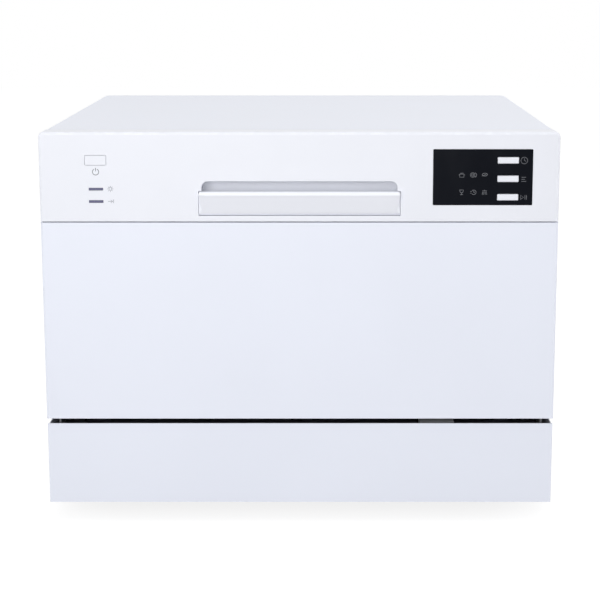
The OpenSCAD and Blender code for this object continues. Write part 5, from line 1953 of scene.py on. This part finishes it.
    def springs(self) -> None:
        """Wound door springs, each with a front hook and a stop at its rear end."""
        x, z = 256, 143.5
        path: Path = [(x + 7.2, -218, z), (x, -218, z), (x, -202, z)]
        coils, steps, radius, pitch = 20, 14, 3.8, 2.8
        for i in range(coils * steps + 1):
            a = 2 * pi * i / steps
            path.append((x + radius * sin(a), -199 + pitch * i / steps, z + radius * cos(a)))
        path += [(x, -140, z), (x, -123, z)]
        for side in (-1, 1):
            paths = [[(side * px, py, pz) for px, py, pz in path]]
            wound = self.wires("wound", paths, PLATED, 1.2, 0.5, domes=True, sides=7)
            disc = [(0, -125), (2.2, -125), (2.2, -123), (0, -123)]
            stop = Solid().turned(Axis.Y, (side * x, z), disc, 16)
            name = "door_spring_left" if side < 0 else "door_spring_right"
            piece = joined(name, [wound, stop.close("stop", CRISP)])
            piece.data.materials.append(PLATED.material())
            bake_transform(piece)
            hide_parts("door_springs")
            LOG.info("%-24s bends from the cabinet to the door", name)


@dataclass
class Controls(Assembly):
    """The handle, the buttons and everything that is printed on the fascia."""

    home: ClassVar[Body] = Body.DOOR
    face: float = -243.0
    ink_depth: float = 0.005
    window_buttons: Sequence[tuple[str, Body]] = (
        ("button_delay", Body.DELAY_BUTTON), ("button_program", Body.PROGRAM_BUTTON),
        ("button_start", Body.START_BUTTON)
    )
    sun: Span = (-199.8, 369.6)
    clock: Span = (237.0, 399.8)
    columns: Sequence[float] = (171.4, 183.7, 195.7)
    rows: Span = (384.4, 366.0)

    def on_cap(self, p: Vector) -> bool:
        """Whether a point lies on a button's face."""
        return p.y < self.face + 0.1

    def build(self) -> None:
        """Makes and dresses the controls."""
        # The handle takes the lighter copy of the fascia's plastic: painted light on its face.
        self.soft("door_handle", "handle_bar", HANDLE_WHITE_PAINTED_LIGHT, 0.2, (), 3, Body.HANDLE)
        power, cap = [Rounding(0.25, self.on_cap)], [Rounding(0.95, self.on_cap)]
        self.soft("button_power", "power_cap", SATIN_WHITE, 0.3, power, 3, Body.POWER_BUTTON)
        for node, body in self.window_buttons:
            self.soft(node, node + "_cap", SATIN_WHITE, 0.3, cap, 4, body)
        self.prints()

    def ink(self, name: str, paths: Sequence[Sequence[Span]], finish: Finish, half: float) -> None:
        """Prints strokes on the fascia.

        Args:
            name: Name of the piece.
            paths: Strokes, as X and Z.
            finish: The ink.
            half: Half of a stroke's width.
        """
        turn = standing(self.face - self.ink_depth) @ Matrix.Diagonal((1, 1, 0.1, 1))
        drawn = [[(a, b, 0.0) for a, b in path] for path in paths]
        piece = self.wires(name, drawn, finish, half, domes=True, sides=6, turn=turn)
        self.place(piece, finish)

    def prints(self) -> None:
        """All symbols."""
        x, z = -214.9, 388.0
        ring = arc((x, z - 0.3), 3.3, 122, 418, 30)
        self.ink("power_symbol", [ring, [(x, z + 0.6), (x, z + 3.7)]], GREY_INK, 0.4)
        x, z = self.sun
        sun = [arc(self.sun, 1.5, 0, 360, 16)]
        for i in range(8):
            a = radians(45 * i)
            sun.append([(x + r * cos(a), z + r * sin(a)) for r in (2.2, 3.0)])
        arrow = [
            [(-202.2, 356.3), (-197.6, 356.3)],
            [(-199.4, 357.7), (-197.6, 356.3), (-199.4, 354.9)],
            [(-196.6, 358.1), (-196.6, 354.5)],
        ]
        self.ink("lamp_symbols", sun + arrow, PALE_INK, 0.3)
        x, z = self.clock
        clock = [arc(self.clock, 3.5, 0, 360, 28), [(x, z + 2.3), self.clock, (x + 1.7, z - 0.8)]]
        bars = [
            [(234.6, 379.8 + dz), (234.6 + w, 379.8 + dz)] for dz, w in ((2.2, 4.6), (0, 3.4), (-2.2, 4.6))
        ]
        play = [
            [(233.8, 358.3), (233.8, 362.9), (237.0, 360.6), (233.8, 358.3)],
            [(238.5, 358.4), (238.5, 362.8)],
            [(240.1, 358.4), (240.1, 362.8)],
        ]
        places = [(a, b) for b in self.rows for a in self.columns]
        programmes = [
            [(x + a, z + b) for a, b in line]
            for (x, z), drawing in zip(places, self.programmes())
            for line in drawing
        ]
        self.ink("window_symbols", clock + bars + play + programmes, PANEL_INK, 0.26)

    @staticmethod
    def programmes() -> list[list[list[Span]]]:
        """Six plain drawings: a pot, plates, a leaf, a glass, a quick clock and a shower."""
        pot = [
            [(-2.2, 0.9), (-2.2, -2.3), (2.2, -2.3), (2.2, 0.9), (-2.2, 0.9)],
            [(-3.1, 0.2), (-2.2, 0.2)],
            [(2.2, 0.2), (3.1, 0.2)],
            [(-1.6, 1.9), (1.6, 1.9)],
        ]
        plates = [
            arc((-0.9, 0), 2.4, 0, 360, 22), arc((-0.9, 0), 1.2, 0, 360, 14),
            arc((0.9, 0), 2.4, -75, 75, 12)
        ]
        leaf = [
            arc((0, -1.6), 3.6, 35, 145, 10), arc((0, 2.5), 3.6, 215, 325, 10), [(-3.1, -1.1), (1.4, 0.8)]
        ]
        glass = [
            [(-2, 2.5), (-1.4, 0), (0, -0.6), (1.4, 0), (2, 2.5), (-2, 2.5)],
            [(0, -0.6), (0, -2.5)],
            [(-1.4, -2.5), (1.4, -2.5)],
        ]
        quick = [
            arc((0.6, 0), 2.4, -140, 140, 18), [(0.6, 1.3), (0.6, 0), (1.6, -0.6)],
            [(-3, 0.9), (-1.6, 0.9)], [(-3.2, -0.9), (-1.9, -0.9)]
        ]
        shower = [
            [(-2.2, 1.6), (2.2, 1.6)],
            [(0, 1.6), (0, 2.6)],
            *[[(a, 0.6), (a * 1.25, -2.4)] for a in (-1.9, -0.65, 0.65, 1.9)],
        ]
        return [pot, plates, leaf, glass, quick, shower]


# ---- rack


@dataclass
class Rack(Assembly):
    """The coated wire rack with its tines, clips and wheels."""

    home: ClassVar[Body] = Body.RACK
    half: float = 228.0
    front: float = -175.0
    back: float = 194.0
    floor: float = 170.3
    rim: float = 262.3
    wire: float = 1.7
    rim_wire: float = 2.2
    bend: float = 7.0
    long_wires: int = 12
    cross_y: Sequence[float] = (-161.0, -113.5, -52.0, 9.5, 71.0, 132.5, 180.0)
    tine_rows: Sequence[float] = (-120.0, -28.7, 62.7, 154.0)
    tine_x: float = -106.0
    tine_pitch: float = 26.0
    tines: int = 10
    tine_top: float = 225.3
    eye_y: Sequence[float] = (-92.0, 111.0)
    axle_z: float = 162.8
    axle_y: Span = (-125.0, 144.0)
    wheel_x: Span = (236.0, 243.0)
    wheel: float = 12.0

    def build(self) -> None:
        """Makes and dresses the rack."""
        pieces = [self.basket(), self.rims(), self.tine_wires(), self.eyes()]
        self.place(joined("rack_wires", pieces), NYLON_WIRE, "dish_rack")
        self.soft("wheel_carriers", "wheel_clips", GREY_PLASTIC, 0.8, (), 3)
        pairs = (("rack_wheels_front", Body.FRONT_WHEELS), ("rack_wheels_rear", Body.REAR_WHEELS))
        for (node, body), y in zip(pairs, self.axle_y):
            self.place(self.wheels(node + "_pair", y), GREY_PLASTIC, node, body=body)

    def basket(self) -> Piece:
        """Wires that run down one side, along the floor and up the other."""
        y0, y1, top = self.front + 1.8, self.back - 1.8, self.rim + 0.5
        low = self.floor - 2.2
        paths = [
            [(x, y0, top), (x, y0, self.floor), (x, y1, self.floor), (x, y1, top)]
            for x in spread(-214, 214, self.long_wires)
        ]
        side = self.half - 1.8
        paths += [[(-side, y, top), (-side, y, low), (side, y, low), (side, y, top)] for y in self.cross_y]
        return self.wires("basket", paths, NYLON_WIRE, self.wire, self.bend, domes=True)

    def rims(self) -> Piece:
        """Three wires that run round the basket."""
        (a, b), (c, d) = (-self.half, self.half), (self.front, self.back)
        low, middle, high = (
            [(a, c, z), (b, c, z), (b, d, z), (a, d, z)]
            for z in (self.floor, (self.floor + self.rim) / 2, self.rim)
        )
        thin = self.wires("thin", [low, middle], NYLON_WIRE, self.wire, 18, True)
        thick = self.wires("thick", [high], NYLON_WIRE, self.rim_wire, 18, True, sides=12)
        return joined("rims", [thin, thick])

    def tine_wires(self) -> Piece:
        """Rows of plate tines on their base wires."""
        base = self.floor + 2.2
        paths = [[(-118, y, base), (146, y, base)] for y in self.tine_rows]
        places = [(self.tine_x + i * self.tine_pitch, y) for y in self.tine_rows for i in range(self.tines)]
        paths += [[(x, y, base - 1), (x, y, self.tine_top - self.wire)] for x, y in places]
        return self.wires("tines", paths, NYLON_WIRE, self.wire, domes=True)

    def eyes(self) -> Piece:
        """The two arms on the left rim in which the shelf turns."""
        outline = [
            (-230, 242.3), (-225, 242.3), (-225, 295.3), *arc((-220, 300.3), 5, -90, 90, 10), (-230, 305.3)
        ]
        made = Solid()
        for y in self.eye_y:
            made.prism(Axis.Y, outline, (y - 4, y + 4), 0.9, 3)
        holes = [Hole((-220, y, 300.3), (0, 1, 0)) for y in self.eye_y]
        return self.perforate(made.close("eyes", CRISP), holes, NYLON_WIRE, 2.0, 12, 20)

    def wheels(self, name: str, y: float) -> Piece:
        """A pair of wheels: tyre, web with round openings, and hub.

        Args:
            name: Name of the piece.
            y: Where the axle lies.

        Returns:
            The pair as one piece.
        """
        low, high = self.wheel_x
        r = self.wheel
        at = (y, self.axle_z)
        tyre = [
            (r - 2.6, low + 0.2), (r - 0.9, low), (r - 0.2, low + 0.6), (r, low + 1.6), (r, high - 1.6),
            (r - 0.2, high - 0.6), (r - 0.9, high), (r - 2.6, high - 0.2)
        ]
        hub = [
            (3.1, low - 1.5), (5.6, low - 1.5), (6, low - 1.1), (6, high - 0.4), (5.6, high), (3.1, high)
        ]
        web = [(5.0, low + 2.4), (r - 1.5, low + 2.4), (r - 1.5, low + 4.6), (5.0, low + 4.6)]
        solid = Solid().turned(Axis.X, at, tyre, 48, True).turned(Axis.X, at, hub, 40, True).mirrored()
        disc = Solid().turned(Axis.X, at, web, 48, True).mirrored().close("web", CRISP)
        holes = [
            Hole((s * (low + 3.5), y + 7.7 * cos(a), self.axle_z + 7.7 * sin(a)), (1, 0, 0))
            for s in (-1, 1)
            for a in (radians(60 * i) for i in range(6))
        ]
        disc = self.perforate(disc, holes, GREY_PLASTIC, 1.35, 8, 14)
        return joined(name, [solid.close("tyres", CRISP), disc])


@dataclass
class Inserts(Assembly):
    """The folding cup shelf and the cutlery basket."""

    pivot: Span = (-220.0, 300.3)
    reach: float = 104.0
    ends: Span = (-108.8, 127.8)
    first: float = -77.5
    last: float = 96.5
    basket_x: Span = (152.0, 224.0)
    basket_y: Span = (-165.0, 55.0)
    basket_z: float = 172.3
    cell: float = 72.53

    def build(self) -> None:
        """Makes and dresses the inserts."""
        self.shelf()
        self.cutlery()

    def shelf(self) -> None:
        """A wire frame with dipped cross wires, that folds up about its left side."""
        x, z = self.pivot
        far = x + self.reach
        y0, y1 = self.ends
        frame = [(x, y0, z), (far, y0, z), (far, y1, z), (x, y1, z)]
        loop = self.wires("loop", [frame], NYLON_WIRE, 1.7, 8, True, sides=10)
        paths = [
            [
                (x, y, z), (x + 12, y, z), (x + 22, y, z - 2), (far - 22, y, z - 2), (far - 12, y, z),
                (far, y, z)
            ]
            for y in spread(self.first, self.last, 7)
        ]
        paths.append([(x + self.reach / 2, y0, z - 1.5), (x + self.reach / 2, y1, z - 1.5)])
        cross = self.wires("cross", paths, NYLON_WIRE, 1.5, 6, domes=True)
        self.place(joined("cup_shelf_wires", [loop, cross]), NYLON_WIRE, "cup_shelf", body=Body.CUP_SHELF)

    def cutlery(self) -> None:
        """The cutlery basket with a pierced floor and pierced end walls."""
        x0, x1 = self.basket_x
        y0, y1 = self.basket_y
        holes = [
            Hole((x, y0 + 8.2 + i * self.cell + j * 8.0, self.basket_z + 1.2), (0, 0, 1))
            for x in spread(x0 + 8, x1 - 8, 8)
            for i in range(3)
            for j in range(8)
        ]
        holes += [
            Hole((x, y, z), (0, 1, 0))
            for x in spread(x0 + 9, x1 - 9, 7)
            for y in (y0 + 1.2, y1 - 1.2)
            for z in spread(self.basket_z + 15, self.basket_z + 87, 9)
        ]
        basket = softened(self.nodes["cutlery_basket"], "cutlery_holder", 0.6)
        basket = self.perforate(basket, holes, GREY_PLASTIC, 2.3, 6, 10)
        self.place(basket, GREY_PLASTIC, "cutlery_basket", body=Body.CUTLERY_BASKET)


# ---- studio


@dataclass
class Studio:
    """White surroundings, lamps and the photo's camera."""

    camera_at: Point = (0.026, -1.841, 0.596)
    pitch: float = 9.98
    lens: float = 91.6
    shift: Span = (-0.04, -0.10)
    ambient: float = 0.58
    glow: float = 0.83
    lamps: Sequence[tuple[str, Point, Point, float, float]] = (
        ("key", (-0.45, -2.7, 0.80), (0, -0.2, 0.24), 2.1, 40),
        ("right", (2.6, -0.3, 0.9), (0, 0, 0.2), 1.4, 18),
        ("left", (-2.6, -0.1, 0.9), (0, 0, 0.2), 1.4, 8),
        ("back", (0.5, 1.7, 2.3), (0, 0, 0.25), 1.3, 6),
        ("overhead", (-0.1, -0.2, 2.6), (0, 0, 0.3), 1.4, 4),
    )

    def build(self) -> None:
        """Makes the studio."""
        scene = bpy.context.scene
        scene.view_settings.view_transform = "Standard"
        self.world(scene)
        self.floor()
        for lamp in self.lamps:
            self.lamp(*lamp)
        data = bpy.data.cameras.new("camera")
        data.lens, data.sensor_width = self.lens, 36
        data.shift_x, data.shift_y = self.shift
        camera = bpy.data.objects.new("camera", data)
        camera.location = self.camera_at
        camera.rotation_euler = (radians(90 - self.pitch), 0, 0)
        scene.collection.objects.link(camera)
        scene.camera = camera

    def _seen(self, graph: Graph) -> Wire:
        """Sorts the rays.

        Args:
            graph: The tree to write in.

        Returns:
            1 on rays that show the surroundings themselves.
        """
        path = graph.add("ShaderNodeLightPath", None, None, "Is Camera Ray")
        seen = graph.maths("MAXIMUM", path, path.out("Is Glossy Ray"))
        return graph.maths("MAXIMUM", seen, path.out("Is Transmission Ray"))

    def world(self, scene: bpy.types.Scene) -> None:
        """White to the eye, dimmer as a lamp.

        Args:
            scene: The scene that it surrounds.
        """
        world = bpy.data.worlds.new("surroundings")
        world.use_nodes = True
        scene.world = world
        graph = Graph(world.node_tree)
        graph.tree.nodes.clear()
        white = graph.add("ShaderNodeBackground", None, {"Color": (1.0, 1.0, 1.0), "Strength": 1.0})
        dim = graph.add("ShaderNodeBackground", None, {"Color": (1.0, 1.0, 1.0), "Strength": self.ambient})
        both = graph.add("ShaderNodeMixShader", None, {0: self._seen(graph), 1: dim, 2: white})
        graph.end("ShaderNodeOutputWorld", both)

    def floor(self) -> None:
        """A white floor that keeps a faint shadow."""
        mesh = bpy.data.meshes.new("floor")
        mesh.from_pydata([(-6, -6, 0), (6, -6, 0), (6, 6, 0), (-6, 6, 0)], [], [(0, 1, 2, 3)])
        floor = link("floor", mesh)
        floor.location.z = -0.0005
        material = bpy.data.materials.new("floor_white")
        material.use_nodes = True
        graph = Graph(material.node_tree)
        graph.tree.nodes.clear()
        matt = graph.add("ShaderNodeBsdfDiffuse", None, {"Color": (0.30, 0.30, 0.30)})
        glow = graph.add("ShaderNodeEmission", None, {"Color": (1.0, 1.0, 1.0), "Strength": self.glow})
        lit = graph.add("ShaderNodeAddShader", None, {0: matt, 1: glow})
        plain = graph.add("ShaderNodeBsdfDiffuse", None, {"Color": (0.34, 0.34, 0.34)})
        both = graph.add("ShaderNodeMixShader", None, {0: self._seen(graph), 1: plain, 2: lit})
        graph.end("ShaderNodeOutputMaterial", both)
        mesh.materials.append(material)

    def lamp(self, name: str, place: Point, aim: Point, size: float, power: float) -> None:
        """Adds an area lamp that looks at a point.

        Args:
            name: Its name.
            place: Where it stands, in metres.
            aim: What it looks at.
            size: Its diameter.
            power: Its power in watts.
        """
        data = bpy.data.lights.new(name, "AREA")
        data.shape, data.size, data.energy = "DISK", size, power
        lamp = bpy.data.objects.new(name, data)
        lamp.location = place
        lamp.rotation_euler = (Vector(aim) - Vector(place)).to_track_quat("-Z", "Y").to_euler()
        bpy.context.scene.collection.objects.link(lamp)


def main() -> None:
    logging.basicConfig(level=logging.INFO, format="%(message)s")
    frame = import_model()
    nodes, trees = frame["nodes"], Trees()
    for kind in (Casing, Tub, WashSystem, WaterWays, Door, Controls, Rack, Inserts):
        kind(nodes, trees).build()
    Studio().build()
    LOG.info("%d pieces", Assembly.placed)


if __name__ == "__main__":
    main()
